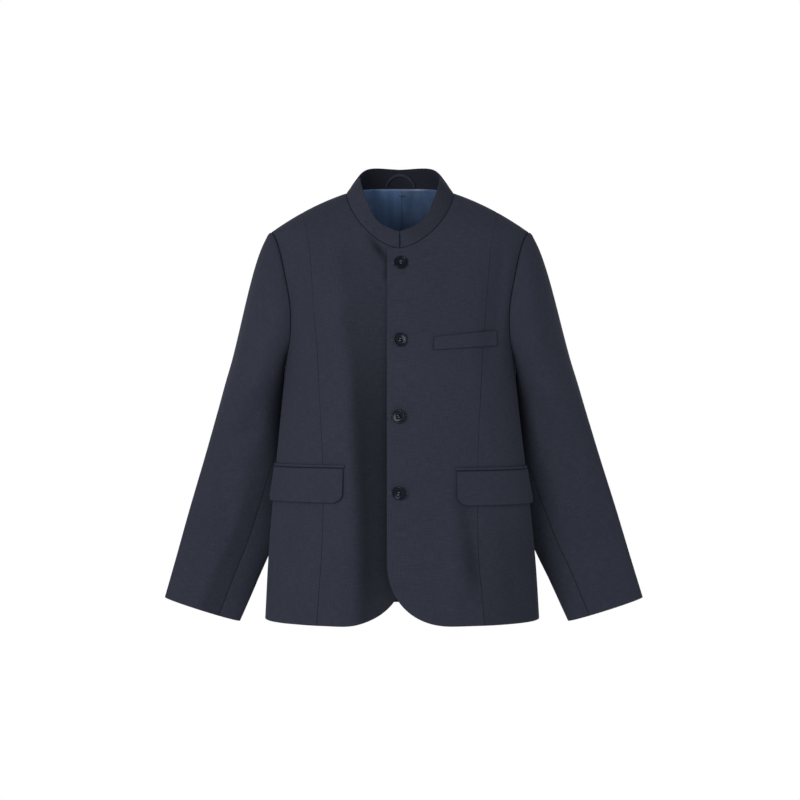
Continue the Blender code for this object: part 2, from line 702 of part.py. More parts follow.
def add_flap(name, side, slot):
    """A pocket flap with rounded lower corners that stands off a little at its foot."""
    inner, outer_end = flap_turns()
    shares = [0, 0.012, 0.04, 0.09, 0.29, 0.5, 0.71, 0.91, 0.96, 0.988, 1]
    downs = [0, 0.35, 0.7, 1]
    points, outward = [], []
    for down in downs:
        row, normals = [], []
        for share in shares:
            end = min(share, 1 - share) * FLAP_LONG
            round_off = max(0.0, 1 - end / FLAP_CORNER)
            high = FLAP_HIGH - FLAP_CORNER * (1 - math.sqrt(1 - round_off**2))
            z = FLAP_TOP - FLAP_DROP[side] - high * down
            flare = (FLAP_FLARE + FLAP_FLARE_SIDE * fade(share, 0.4, 1.0)) * down**1.5
            turn = inner + (outer_end - inner) * share
            p, n = body(turn, z, side, LAID_GAP + FLAP_WALL + flare)
            row.append(p)
            normals.append(n)
        points.append(row)
        outward.append(normals)
    outer = np.array(points)
    add_wall(name, outer, outer - FLAP_WALL * np.array(outward), slot)


def add_jet(name, side, slot):
    """The narrow jet above a flap."""
    inner, outer_end = flap_turns(0.0015)
    foot = FLAP_TOP - FLAP_DROP[side] + SEAM_GAP
    turns = np.linspace(inner, outer_end, 15)
    cells = [[(turn, foot + JET_HIGH * up) for turn in turns] for up in (0, 1)]
    points, outward = grid_points(cells, side, LAID_GAP + JET_WALL)
    add_wall(name, points, points - JET_WALL * outward, slot)


def add_breast_welt(slot):
    """The slanting welt of the breast pocket, on the wearer's left."""
    ends = (WELT_INNER, WELT_OUTER)
    cells = []
    for down in (1, 0.5, 0):
        row = []
        for share in np.linspace(0, 1, 7):
            inner, outer = ((1 - down) * np.array(top) + down * np.array(foot) for top, foot in ends)
            x, z = inner + (outer - inner) * share
            row.append((turn_at(x, z), z))
        cells.append(row)
    points, outward = grid_points(cells, +1, LAID_GAP + SHELL_WALL)
    add_wall("breast_welt", points, points - SHELL_WALL * outward, slot)


def turned(profile, sides):
    """Points and faces of a solid turned about the z axis through (radius, height) rows."""
    points, faces = [], []
    for radius, height in profile:
        for k in range(sides):
            angle = 2 * math.pi * k / sides
            points.append((radius * math.cos(angle), radius * math.sin(angle), height))
    for r in range(len(profile) - 1):
        for k in range(sides):
            a, b = r * sides + k, r * sides + (k + 1) % sides
            faces.append((a, b, b + sides, a + sides))
    faces.append(tuple(range(sides - 1, -1, -1)))
    faces.append(tuple((len(profile) - 1) * sides + k for k in range(sides)))
    return np.array(points), faces


def add_button(name, place, slot):
    """A sew-through button with a raised rim and four holes, seated on the over front."""
    low = BUTTON_HIGH - BUTTON_DISH
    profile = [
        (BUTTON_RADIUS - 0.0016, 0.0),
        (BUTTON_RADIUS, 0.0016),
        (BUTTON_RADIUS - 0.0002, BUTTON_HIGH - 0.0007),
        (BUTTON_RADIUS - 0.0011, BUTTON_HIGH),
        (BUTTON_RADIUS - 0.0023, BUTTON_HIGH - 0.0002),
        (BUTTON_RADIUS - 0.0036, low),
    ]
    sideways, nod = math.radians(place.turned), math.radians(place.nodding)
    lift = (BUTTON_RADIUS - 0.0016) * math.sin(math.hypot(sideways, nod))
    seat, outward = body(turn_at(place.aside, place.height), place.height, +1, SEAM_GAP + lift)
    across = np.array([1.0, 0.0, 0.0])
    up = unit(np.cross(outward, across))
    outward = unit(outward - math.tan(sideways) * across - math.tan(nod) * up)
    across = unit(np.cross(up, outward))
    frame = np.array([across, np.cross(outward, across), outward]).T
    points, faces = turned(profile, BUTTON_SIDES)
    made = add_solid(name, points @ frame.T + seat, faces, slot)
    cutters = []
    for x, y in ((1, 1), (-1, 1), (-1, -1), (1, -1)):
        points, faces = turned([(BUTTON_HOLE, -0.001), (BUTTON_HOLE, BUTTON_HIGH + 0.001)], 8)
        points += np.array([x * BUTTON_HOLE_AT, y * BUTTON_HOLE_AT, 0])
        cutters.append(add_solid("hole", points @ frame.T + seat, faces, slot))
    for cutter in cutters:
        cut = made.modifiers.new("hole", "BOOLEAN")
        cut.operation = "DIFFERENCE"
        cut.solver = "EXACT"
        cut.object = cutter
    bpy.context.view_layer.update()
    shaped = bpy.data.meshes.new_from_object(made.evaluated_get(bpy.context.evaluated_depsgraph_get()))
    made.modifiers.clear()
    made.data = shaped
    for cutter in cutters:
        bpy.data.objects.remove(cutter)


def build():
    for old in list(bpy.data.objects):
        bpy.data.objects.remove(old)
    wool = material("wool_navy", (0.030, 0.032, 0.050), 0.9)
    satin = material("lining_satin", (0.030, 0.055, 0.120), 0.35)
    gloss = material("button_gloss", (0.008, 0.009, 0.014), 0.25)
    for side, word in ((+1, "left"), (-1, "right")):
        add_panel("front_" + word, front_cells(OVERLAP[side]), side, wool)
        add_panel("side_front_" + word, side_front_cells(), side, wool)
        add_sleeve_part("upper_sleeve_" + word, side, True, wool)
        add_sleeve_part("under_sleeve_" + word, side, False, wool)
        add_flap("flap_" + word, side, wool)
        add_jet("jet_" + word, side, wool)
    add_back(wool)
    add_lining(satin)
    add_collar(wool)
    add_hanger_loop(wool)
    add_breast_welt(wool)
    for k, place in enumerate(BUTTONS):
        add_button(f"button_{k + 1}", place, gloss)


build()
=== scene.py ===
"""The looks of the stand collar jacket: creased cloth shells on the forms of its solids, and their materials.

Metres, +Z up, in the frame of the solids: the front faces -Y and +X is the wearer's left.
"""

import math
from collections import namedtuple

import bpy
import numpy as np
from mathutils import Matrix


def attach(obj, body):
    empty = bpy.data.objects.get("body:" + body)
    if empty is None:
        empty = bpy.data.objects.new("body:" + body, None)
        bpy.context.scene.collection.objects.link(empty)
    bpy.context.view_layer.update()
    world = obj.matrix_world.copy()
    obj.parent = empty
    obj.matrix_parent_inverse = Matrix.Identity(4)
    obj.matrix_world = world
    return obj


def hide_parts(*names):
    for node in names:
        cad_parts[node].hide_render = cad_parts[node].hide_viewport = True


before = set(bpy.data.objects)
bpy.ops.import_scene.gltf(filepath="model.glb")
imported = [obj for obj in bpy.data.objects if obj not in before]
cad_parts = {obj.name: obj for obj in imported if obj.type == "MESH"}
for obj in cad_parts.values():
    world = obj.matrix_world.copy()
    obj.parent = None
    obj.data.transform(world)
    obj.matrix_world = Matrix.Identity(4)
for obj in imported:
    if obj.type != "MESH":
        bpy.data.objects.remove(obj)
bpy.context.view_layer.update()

# Cloth
SHELL_WALL = 0.0020
COLLAR_WALL = 0.0030
LINING_WALL = 0.0010
FLAP_WALL = 0.0024
JET_WALL = 0.0016
SEAM_GAP = 0.00002
LEAST_WALL = 0.0002
INNER_ROLL = 0.25  # of the wall, the most that an inner face rolls in
LAID_GAP = 0.0010
FACING_WIDE = 0.085  # inside, the fronts are faced with wool beside their edges
HEM_TURN = 0.034  # and wool is turned in at hem and cuffs, above it they are lined
GRAIN_SHIFT = (0.37, 0.53)  # from piece to piece, so that no two show the same cloth

# Each kind of edge: radius of its roll, how dark the painted shade of its seam groove is, and how far that
# reaches
Edge = namedtuple("Edge", "radius dark reach")
FREE = Edge(0.0010, 0.0, 0.001)
FINE_SEAM = Edge(0.0009, 0.52, 0.0008)
ARMHOLE_SEAM = Edge(0.0013, 0.74, 0.0010)
COLLAR_SEAM = Edge(0.0011, 0.66, 0.0008)
COLLAR_FREE = Edge(0.0013, 0.0, 0.001)
FLAP_SEAM = Edge(0.0010, 0.70, 0.0010)
THIN_FREE = Edge(0.0004, 0.0, 0.001)
LOOP_FREE = FREE._replace(radius=0.0008)
# painted shadow: the flap's free edges are darkened where it throws shade on the panel below
FLAP_FREE = Edge(0.0011, 0.45, 0.0010)
JET_FOOT = FLAP_SEAM._replace(radius=0.0007)
JET_HEAD = FINE_SEAM._replace(radius=0.0007)
JET_END = FREE._replace(radius=0.0007)
# painted shade of the pocket opening along the welt's head
WELT_HEAD = FLAP_SEAM._replace(dark=0.5)

# Body, as in the solids
HEM = -0.6973
SIDE_HEM = -0.6945
BACK_HEM = -0.6800
UNDERARM = -0.275
NECK_SIDE = 0.0875
NECK_DROP = 0.0955
NECK_RISE = 0.0148
NECK_ROUND = 1.62
NECK_TAPER = 1.0
SHOULDER_REACH = 0.211
SHOULDER_DROP = 0.0640
SHOULDER_START = 0.322
FRONT_ROUND = 2.35
BACK_ROUND = 2.20
HEM_SWAY = 0.0036
SWAY_GROWS = (0.30, 0.70)  # depths below the origin, like all that end in GROWS or DOWN
HEM_RISE_SHARE = 0.1  # of the height below the underarm takes up a higher hem
QUARTER = 0.27  # cloth in a quarter of the body, about

# Side line below the shoulder: height, half width
SIDE_LINE = [
    (-0.700, 0.2247),
    (-0.602, 0.2190),
    (-0.438, 0.2035),
    (-0.344, 0.1935),
    (-0.262, 0.1868),
    (-0.202, 0.1930),
    (-0.123, 0.2060),
    (-0.0640, 0.2110),
]
# Depth of the body at the centre lines: height, depth
FRONT_LINE = [
    (-0.700, 0.114),
    (-0.580, 0.119),
    (-0.450, 0.125),
    (-0.350, 0.128),
    (-0.250, 0.126),
    (-0.150, 0.109),
    (-0.0955, 0.091),
    (-0.050, 0.075),
    (0.000, 0.052),
    (0.030, 0.036),
]
BACK_LINE = [
    (-0.700, 0.106),
    (-0.580, 0.102),
    (-0.450, 0.101),
    (-0.350, 0.109),
    (-0.250, 0.116),
    (-0.150, 0.115),
    (-0.070, 0.098),
    (-0.030, 0.083),
    (0.000, 0.067),
    (0.030, 0.052),
]
# Princess seam: height, distance from the centre front
PRINCESS_SHOULDER = 0.158
PRINCESS = [
    (-0.700, 0.1335),
    (-0.500, 0.1222),
    (-0.435, 0.1230),
    (-0.300, 0.1296),
    (-0.187, 0.1386),
    (-0.0995, 0.1448),
]

# Closure
OVERLAP = {+1: 0.0207, -1: 0.0105}
LAP_LIFT = 0.00125
LAP_REACH = 0.075
UNDER_DIP = 0.0115
UNDER_FLOOR = 0.042
UNDER_CREST = (0.097, 0.080)
CREST_DOWN = (0.16, 0.60)
UNDER_GROWS = (0.10, 0.45)
UNDER_DARK = 0.56  # painted shade: light that the fold beside the overlap loses
UNDER_DARK_GROWS = (0.02, 0.46)
UNDER_DARK_ENDS_DOWN = (0.60, 0.70)
UNDER_DARK_LESS = 0.35  # of it, at the hem
UNDER_DARK_CREST = (0.004, 0.026)  # in from the crest of the fold
SIDE_DARK = 0.16  # and painted shade on the left side front below its flap
SIDE_DARK_GROWS = (0.49, 0.58)
CORNER_WIDE = 0.105
CORNER_HIGH = 0.105
CORNER_ROUND = 2.2
FRONT_LEVEL = UNDERARM - 0.01  # where the rows of the front edge change their pace

# Armhole, as shares of the turn from the side seam
ARMHOLE_FRONT = 0.305
ARMHOLE_BACK = 0.25
ARMHOLE_TOP_POWER = 0.60
ARMHOLE_FOOT_POWER = 0.95
ARMHOLE_MIDDLE = 0.19  # from the centre line

# Soft folds of the body, as in the solids
FOLD_FLAT = 0.25  # of a fold's half length has its whole depth
BodyFold = namedtuple("BodyFold", "side turn top foot depth half_turn")
BODY_FOLDS = [
    BodyFold(+1, 0.33, -0.50, -0.72, -0.0050, 0.13),
    BodyFold(-1, 0.25, -0.16, -0.80, +0.0035, 0.11),
    BodyFold(+1, 0.53, -0.06, -0.34, -0.0040, 0.15),
    BodyFold(-1, 0.53, -0.06, -0.34, -0.0035, 0.15),
    BodyFold(+1, 1.45, -0.12, -0.66, -0.0060, 0.17),
    BodyFold(-1, 1.48, -0.14, -0.60, -0.0055, 0.17),
    BodyFold(+1, 1.72, -0.38, -0.80, +0.0050, 0.16),
    BodyFold(-1, 1.70, -0.42, -0.80, +0.0045, 0.16),
]
CREASE_TAIL = 0.45  # of a crease's length, how far it runs out past its ends
CREASE_WHOLE = 0.30  # and how far in it has its whole depth
CREASE_FAR = 2.6  # half widths, beyond which nothing is left of it
CREASE_WAVE = (0.25, 7.0, 90.0)  # share of its depth, pace along it, phase by its place
# Creases of the body, each a soft trough or ridge from one point to another.
# Points are a distance from the centre line and a height; half is the crease's half width.
BodyCrease = namedtuple("BodyCrease", "face side from_x from_z to_x to_z depth half")
BODY_CREASES = [
    BodyCrease("front", -1, 0.084, -0.330, 0.088, -0.670, +0.0018, 0.018),
    BodyCrease("front", -1, 0.060, -0.400, 0.056, -0.640, -0.0010, 0.014),
    BodyCrease("front", -1, 0.047, -0.082, 0.020, -0.112, -0.0016, 0.008),
    BodyCrease("front", -1, 0.083, -0.066, 0.096, -0.150, -0.0016, 0.014),
    BodyCrease("front", -1, 0.165, -0.105, 0.158, -0.215, -0.0014, 0.012),
    BodyCrease("front", -1, 0.150, -0.515, 0.166, -0.670, -0.0016, 0.015),
    BodyCrease("front", -1, 0.176, -0.300, 0.150, -0.345, -0.0011, 0.010),
    BodyCrease("front", +1, 0.111, -0.505, 0.119, -0.620, -0.0014, 0.014),
    BodyCrease("front", +1, 0.052, -0.515, 0.060, -0.660, -0.0012, 0.016),
    BodyCrease("front", +1, 0.066, -0.090, 0.080, -0.165, -0.0011, 0.014),
    BodyCrease("front", +1, 0.166, -0.100, 0.160, -0.210, -0.0016, 0.012),
    BodyCrease("front", +1, 0.176, -0.310, 0.152, -0.352, -0.0011, 0.010),
    BodyCrease("front", +1, 0.172, -0.520, 0.180, -0.650, -0.0014, 0.013),
    BodyCrease("back", +1, 0.150, -0.225, 0.085, -0.330, -0.0022, 0.014),
    BodyCrease("back", -1, 0.152, -0.235, 0.092, -0.350, -0.0020, 0.013),
    BodyCrease("back", +1, 0.060, -0.430, 0.070, -0.640, -0.0022, 0.018),
    BodyCrease("back", -1, 0.050, -0.450, 0.064, -0.650, -0.0020, 0.017),
    BodyCrease("back", +1, 0.155, -0.400, 0.120, -0.425, -0.0018, 0.010),
    BodyCrease("back", -1, 0.160, -0.385, 0.118, -0.418, -0.0018, 0.010),
    BodyCrease("back", +1, 0.075, -0.020, 0.125, -0.070, -0.0014, 0.013),
    BodyCrease("back", -1, 0.072, -0.022, 0.120, -0.072, -0.0014, 0.013),
]

# Painted shade in creases of the fronts, each from one point to another, and the light that it takes away
ShadedCrease = namedtuple("ShadedCrease", "side from_x from_z to_x to_z dark half")
SHADED_CREASES = [
    ShadedCrease(-1, 0.047, -0.080, 0.022, -0.113, 0.58, 0.0050),
    ShadedCrease(-1, 0.021, -0.113, 0.021, -0.146, 0.52, 0.0045),
    ShadedCrease(-1, 0.088, -0.110, 0.083, -0.250, 0.16, 0.0110),
    ShadedCrease(+1, 0.098, -0.505, 0.124, -0.640, 0.30, 0.0150),
]

# Sleeve rings below the armhole, as in the solids
SleeveRing = namedtuple("SleeveRing", "out_x out_z in_x in_z middle_y front_deep back_deep forearm")
SLEEVE_RINGS = [
    SleeveRing(0.2855, -0.2900, 0.1897, -0.3350, 0.037, 0.079, 0.046, 162.0),
    SleeveRing(0.3050, -0.3550, 0.1950, -0.3880, 0.042, 0.061, 0.045, 158.0),
    SleeveRing(0.3293, -0.4350, 0.1990, -0.4750, 0.050, 0.036, 0.036, 133.0),
    SleeveRing(0.3554, -0.5200, 0.2110, -0.5630, 0.053, 0.026, 0.026, 119.0),
    SleeveRing(0.3784, -0.6000, 0.2443, -0.6420, 0.052, 0.023, 0.023, 117.0),
    SleeveRing(0.3978, -0.6665, 0.2728, -0.7060, 0.050, 0.023, 0.023, 117.0),
]
SLEEVE_SWING = {+1: 0.0110, -1: -0.0100}
SWING_DOWN = (0.42, 0.64)  # from the outside alone to the whole sleeve
CAP_LEAVES = {
    "top": (0.34, 0.00, -0.25),
    "front": (0.62, -0.34, -0.30),
    "under": (0.22, 0.30, -0.70),
    "back": (0.62, 0.34, -0.30),
}
FOREARM_SEAM = 160.0  # degrees round the armhole from the shoulder by the front
HINDARM_SEAM = 280.0
CAP_RISE = 0.0014  # the sleeve head stands up beside its seam
CAP_RISE_AT = 0.0070
CAP_SEAM = 0.003
CAP_BACK = (-120, -40)  # degrees between which the rise begins
CAP_FRONT = (110, 40)
SleeveFold = namedtuple("SleeveFold", "side along around slant depth half_along half_around")
SLEEVE_FOLDS = [
    SleeveFold(-1, 0.62, 70.0, 90.0, -0.0035, 0.20, 26.0),
    SleeveFold(-1, 0.40, 95.0, -120.0, -0.0040, 0.14, 28.0),
    SleeveFold(+1, 0.60, 75.0, 80.0, -0.0035, 0.20, 26.0),
    SleeveFold(+1, 0.42, 100.0, -110.0, -0.0040, 0.14, 28.0),
    SleeveFold(+1, 0.50, 262.0, 90.0, -0.0040, 0.18, 28.0),
    SleeveFold(-1, 0.52, 258.0, 90.0, -0.0040, 0.18, 28.0),
]
# Creases of the sleeves, from one point to another: degrees round and share of the length
SleeveCrease = namedtuple("SleeveCrease", "side from_around from_along to_around to_along depth half")
SLEEVE_CREASES = [
    SleeveCrease(-1, 120.0, 0.40, 62.0, 0.47, -0.0015, 0.010),
    SleeveCrease(-1, 128.0, 0.53, 70.0, 0.56, -0.0013, 0.009),
    SleeveCrease(-1, 60.0, 0.14, 84.0, 0.36, -0.0012, 0.013),
    SleeveCrease(-1, 44.0, 0.62, 66.0, 0.90, -0.0013, 0.013),
    SleeveCrease(-1, 100.0, 0.66, 84.0, 0.88, +0.0010, 0.011),
    SleeveCrease(+1, 118.0, 0.42, 60.0, 0.48, -0.0014, 0.010),
    SleeveCrease(+1, 126.0, 0.56, 74.0, 0.58, -0.0012, 0.009),
    SleeveCrease(+1, 58.0, 0.16, 80.0, 0.38, -0.0012, 0.013),
    SleeveCrease(+1, 48.0, 0.60, 62.0, 0.92, -0.0012, 0.013),
    SleeveCrease(+1, 102.0, 0.64, 88.0, 0.86, +0.0010, 0.011),
    SleeveCrease(-1, 236.0, 0.42, 292.0, 0.46, -0.0018, 0.011),
    SleeveCrease(-1, 232.0, 0.52, 288.0, 0.55, -0.0016, 0.010),
    SleeveCrease(+1, 238.0, 0.44, 290.0, 0.47, -0.0018, 0.011),
    SleeveCrease(+1, 234.0, 0.54, 286.0, 0.56, -0.0016, 0.010),
]
SLEEVE_DEGREE = 0.00095  # cloth in a degree round the sleeve, about
SLEEVE_DARK = 0.24  # painted shade: light that the right forearm loses behind its front crease
SLEEVE_DARK_ALONG = (0.42, 0.72)
FRONT_CREASE = 97  # degrees round the sleeve
FRONT_CREASE_MOVES = 13  # back by this, towards the cuff
FRONT_CREASE_ALONG = (0.6, 1.0)
FRONT_CREASE_SOFT = (-5, 9)

# Collar: place on the neckline (0 centre front, 1 shoulder, 2 centre back), height, lean inwards
CollarPlace = namedtuple("CollarPlace", "place height lean")
COLLAR = [
    CollarPlace(0.0, 0.0310, 25.0),
    CollarPlace(0.25, 0.0290, 26.0),
    CollarPlace(0.5, 0.0245, 29.0),
    CollarPlace(0.7, 0.0285, 33.0),
    CollarPlace(1.0, 0.0340, 40.0),
    CollarPlace(1.4, 0.0370, 31.0),
    CollarPlace(2.0, 0.0322, 15.0),
]
COLLAR_SPLIT = 0.0006
COLLAR_OPEN = 0.0016
COLLAR_BULGE = 0.0010
COLLAR_PARTS = 0.12  # place from which its ends part
COLLAR_FOOT = 0.2  # of its height turns from the body's direction
COLLAR_DARK = 0.20  # painted shade: light that its left side loses
COLLAR_DARK_FROM = (0.1, 0.35)  # places
COLLAR_DARK_TO = (1.2, 0.8)
COLLAR_INSIDE = 0.45  # and painted shade on its inner face

# Lining and hanger loop
LINING_FOOT = 0.042  # above the hem of the back
LINING_GAP = 0.0004
LINING_SHORT = 3  # columns of the back that it leaves free beside the side seam
LINING_TUCK = 0.0018
LINING_SEWN = 0.014  # it lies flat this near the seam
TACK_BELOW = 0.0092  # the bar tack that ends the pleat, below the neck seam
TACK_HALF = 0.0052
TACK_THREAD = 0.0004
TACK_LIFT = 0.0012
PLEAT_AT = 0.0038
PLEAT_DEPTH = 0.0030
PLEAT_REACH = 0.011
PLEAT_EDGE = 0.0005
PLEAT_DARK = 0.50  # painted shade: light that the pleat's fold loses, beside the pleat's edge
PLEAT_DARK_AT = -0.0005
PLEAT_DARK_HALF = 0.0009
LINING_DARK = 0.42  # painted shade: light that the lining loses further down
LINING_DARK_DOWN = (0.008, 0.055)
LINING_DARK_ACROSS = (-0.03, 0.01)
LINING_SIDE_DARK = 0.45  # and painted shade on the wearer's left, behind the fold of the pleat
LINING_SIDE_ACROSS = (-0.010, 0.020)
LiningFold = namedtuple("LiningFold", "x depth half")
LINING_FOLDS = [
    LiningFold(-0.030, 0.0012, 0.010),
    LiningFold(+0.034, 0.0014, 0.011),
    LiningFold(-0.062, 0.0016, 0.014),
    LiningFold(+0.066, 0.0014, 0.014),
]
LOOP_HALF = 0.0245
LOOP_RISE = 0.0210
LOOP_WIDE = 0.0045
LOOP_WALL = 0.0016
LOOP_SEAM = 0.0022  # its ends, above the neck seam

# Pockets
FLAP_TOP = -0.4455
FLAP_HIGH = 0.0555
FLAP_LONG = 0.155
FLAP_CORNER = 0.014
FLAP_START = 0.088
FLAP_TURN = 0.945
FLAP_QUARTER = 0.3  # cloth in a quarter of the body at the pockets, about
FLAP_FLARE = 0.0022
FLAP_FLARE_SIDE = 0.0004
FLAP_DROP = {+1: 0.0045, -1: 0.0}
JET_HIGH = 0.0052
JET_PAST = 0.0015  # its ends, past those of the flap
JET_ABOVE = 0.0003  # its foot, above the top of the flap
WELT_INNER = ((0.0535, -0.2381), (0.0520, -0.2595))
WELT_OUTER = ((0.1550, -0.2261), (0.1550, -0.2515))

# Buttons and buttonholes
ButtonPlace = namedtuple("ButtonPlace", "height aside turned nodding spin")
BUTTONS = [
    ButtonPlace(-0.1205, 0.0014, 0.0, 0.0, 8.0),
    ButtonPlace(-0.2431, 0.0003, 5.0, 0.0, -14.0),
    ButtonPlace(-0.3637, -0.0020, 20.0, 0.0, 31.0),
    ButtonPlace(-0.4840, -0.0014, 20.0, 8.0, -22.0),
]
BUTTON_RADIUS = 0.0109
BUTTON_HIGH = 0.0038
BUTTON_DISH = 0.0013
BUTTON_RIM_HALF = 0.0013
BUTTON_RIM_HIGH = 0.0010
BUTTON_SLOPE = 0.0016  # from the rim down to the dish
BUTTON_FOOT = [(0.0018, 0.0), (0.0008, 0.0004), (0.0002, 0.0011)]  # in from the edge, height
BUTTON_THREAD = 0.00022
THREAD_ASIDE = 0.00030
THREAD_RISE = 0.00035
THREAD_DIVE = 0.0016
THREAD_DIVES_AT = 0.72  # share of the way out from the middle
BUTTON_HOLE = 0.0009
BUTTON_HOLE_AT = 0.0018
BUTTONHOLE_ENDS = (-0.0135, 0.0125)  # sideways from the button's middle
BUTTONHOLE_HALF = 0.0013
PURL_STEP = 0.0004
PURL_LIFT = 0.00025
PURL_TWIST = 0.00012
PURL_RADIUS = 0.00055

# Fine steps
BODY_STEPS = 60
ARMHOLE_STEPS = 54
YOKE_STEPS = 30
NECK_STEPS = 18
CORNER_STEPS = 30
OVERLAP_COLUMNS = 6
FRONT_COLUMNS = 36
SIDE_COLUMNS = 24
BACK_COLUMNS = 44
BACK_YOKE = -0.085
CAP_STEPS = 30
RING_STEPS = 13
UPPER_COLUMNS = 60
UNDER_COLUMNS = 32
COLLAR_ROWS = 13
PLEAT_COLUMNS = 13
LOOP_ROWS = 9
LOOP_COLUMNS = 49
EDGE_SHARES = (0.05, 0.12, 0.22, 0.38, 0.62)  # extra lines in the first and last step of a grid


# ------------------------------------------------------------------ forms of the solids


def between(t, step, ends, tangents):
    """The smooth curve between two ends with given tangents, at a share t of the step."""
    start = (1 + 2 * t) * (1 - t) ** 2 * ends[0] + t * (1 - t) ** 2 * step * tangents[0]
    end = t * t * (3 - 2 * t) * ends[1] - t * t * (1 - t) * step * tangents[1]
    return start + end


def smooth_table(rows):
    """A smooth function through (at, value) rows, at rising, that never overshoots them."""
    at, value = (np.array(column, float) for column in zip(*rows))
    step = np.diff(at)
    slope = np.diff(value) / step
    tangent = np.concatenate([slope[:1], np.zeros(len(at) - 2), slope[-1:]])
    for i in range(1, len(at) - 1):
        if slope[i - 1] * slope[i] > 0:
            tangent[i] = 2 * slope[i - 1] * slope[i] / (slope[i - 1] + slope[i])

    def curve(x):
        i = int(np.clip(np.searchsorted(at, x) - 1, 0, len(step) - 1))
        t = (x - at[i]) / step[i]
        return between(t, step[i], value[i : i + 2], tangent[i : i + 2])

    return curve


def fade(value, start, end):
    """0 at start, 1 at end and smooth between."""
    t = min(1.0, max(0.0, (value - start) / (end - start)))
    return t * t * (3 - 2 * t)


def unit(vector):
    return vector / np.linalg.norm(vector)


SHOULDER_SPAN = SHOULDER_REACH - NECK_SIDE
SHOULDER_BEND = (SHOULDER_DROP - SHOULDER_START * SHOULDER_SPAN) / SHOULDER_SPAN**2
side_line = smooth_table(SIDE_LINE)
front_line = smooth_table(FRONT_LINE)
back_line = smooth_table(BACK_LINE)


def shoulder_height(x):
    d = x - NECK_SIDE
    return -(SHOULDER_START * d + SHOULDER_BEND * d * d)


def half_width(z):
    """Half width of the body at height z; along the shoulder seam above the sleeve."""
    if z > 0:
        return NECK_SIDE - NECK_TAPER * z
    if z >= -SHOULDER_DROP:
        root = math.sqrt(SHOULDER_START**2 - 4 * SHOULDER_BEND * z)
        return NECK_SIDE + (root - SHOULDER_START) / (2 * SHOULDER_BEND)
    return side_line(z)


def turn_at(x, z, power=FRONT_ROUND):
    """Turn from a centre line at distance x from it."""
    share = min(1.0, abs(x) / half_width(z))
    return math.copysign(math.asin(share ** (power / 2)) * 2 / math.pi, x)


def under_crest(z):
    """Distance from the centre front of the crest of the fold beside the overlap."""
    return UNDER_CREST[0] + (UNDER_CREST[1] - UNDER_CREST[0]) * fade(-z, *CREST_DOWN)


def lap(x, z, side):
    """How far a front leaves the common surface near the closure."""
    near = 1 - fade(x, OVERLAP[+1], LAP_REACH)
    if side > 0:
        return LAP_LIFT * near
    fall = 1 - fade(x, UNDER_FLOOR, under_crest(z))
    return -LAP_LIFT * near - UNDER_DIP * fall * fade(-z, *UNDER_GROWS)


def bump_along(across, along, start, end, depth, half):
    """A soft trough or ridge of a given half width from one point to another, as a height at a point."""
    run = (end[0] - start[0], end[1] - start[1])
    length = math.hypot(*run)
    off = (across - start[0], along - start[1])
    share = (off[0] * run[0] + off[1] * run[1]) / length**2
    aside = (off[0] * run[1] - off[1] * run[0]) / length
    if not -CREASE_TAIL < share < 1 + CREASE_TAIL or abs(aside) > CREASE_FAR * half:
        return 0.0
    taper = fade(share, -CREASE_TAIL, CREASE_WHOLE) * fade(share, 1 + CREASE_TAIL, 1 - CREASE_WHOLE)
    swell, pace, phase = CREASE_WAVE
    wave = 1 + swell * math.sin(pace * share + phase * start[0])
    return depth * wave * taper * math.exp(-((aside / half) ** 2))


CREASE_LINES = []
for crease in BODY_CREASES:
    power = FRONT_ROUND if crease.face == "front" else BACK_ROUND
    ends = []
    for x, z in ((crease.from_x, crease.from_z), (crease.to_x, crease.to_z)):
        turn = turn_at(x, z, power)
        ends.append(((turn if crease.face == "front" else 2 - turn) * QUARTER, z))
    CREASE_LINES.append((crease.side, ends[0], ends[1], crease.depth, crease.half))


def drape(turn, z, side):
    """The soft folds and the creases of the body, out from its plain form."""
    total = 0.0
    for fold in BODY_FOLDS:
        if fold.side == side and fold.foot < z < fold.top:
            across = 1 - fade(abs(turn - fold.turn), 0.0, fold.half_turn)
            middle = (fold.top + fold.foot) / 2
            along = 1 - fade(abs(z - middle), FOLD_FLAT * (fold.top - middle), fold.top - middle)
            total += fold.depth * across * along
    for crease_side, start, end, depth, half in CREASE_LINES:
        if crease_side == side:
            total += bump_along(turn * QUARTER, z, start, end, depth, half)
    return total


def painted_front_shade(turn, z, side):
    """How much shade is painted on a place of the fronts: in the deep fold beside the overlap, where little
    light comes, and in the shaded creases.
    """
    x = half_width(z) * math.copysign(abs(math.sin(turn * math.pi / 2)) ** (2 / FRONT_ROUND), turn)
    light = 1.0
    if side < 0:
        crest = under_crest(z)
        along = fade(-z, *UNDER_DARK_GROWS) * (1 - UNDER_DARK_LESS * fade(-z, *UNDER_DARK_ENDS_DOWN))
        start, end = (crest - inwards for inwards in UNDER_DARK_CREST)
        light -= UNDER_DARK * along * fade(x, start, end)
    for crease in SHADED_CREASES:
        if crease.side == side:
            ends = (crease.from_x, crease.from_z), (crease.to_x, crease.to_z)
            light *= 1 - bump_along(x, z, *ends, crease.dark, crease.half)
    return 1 - light


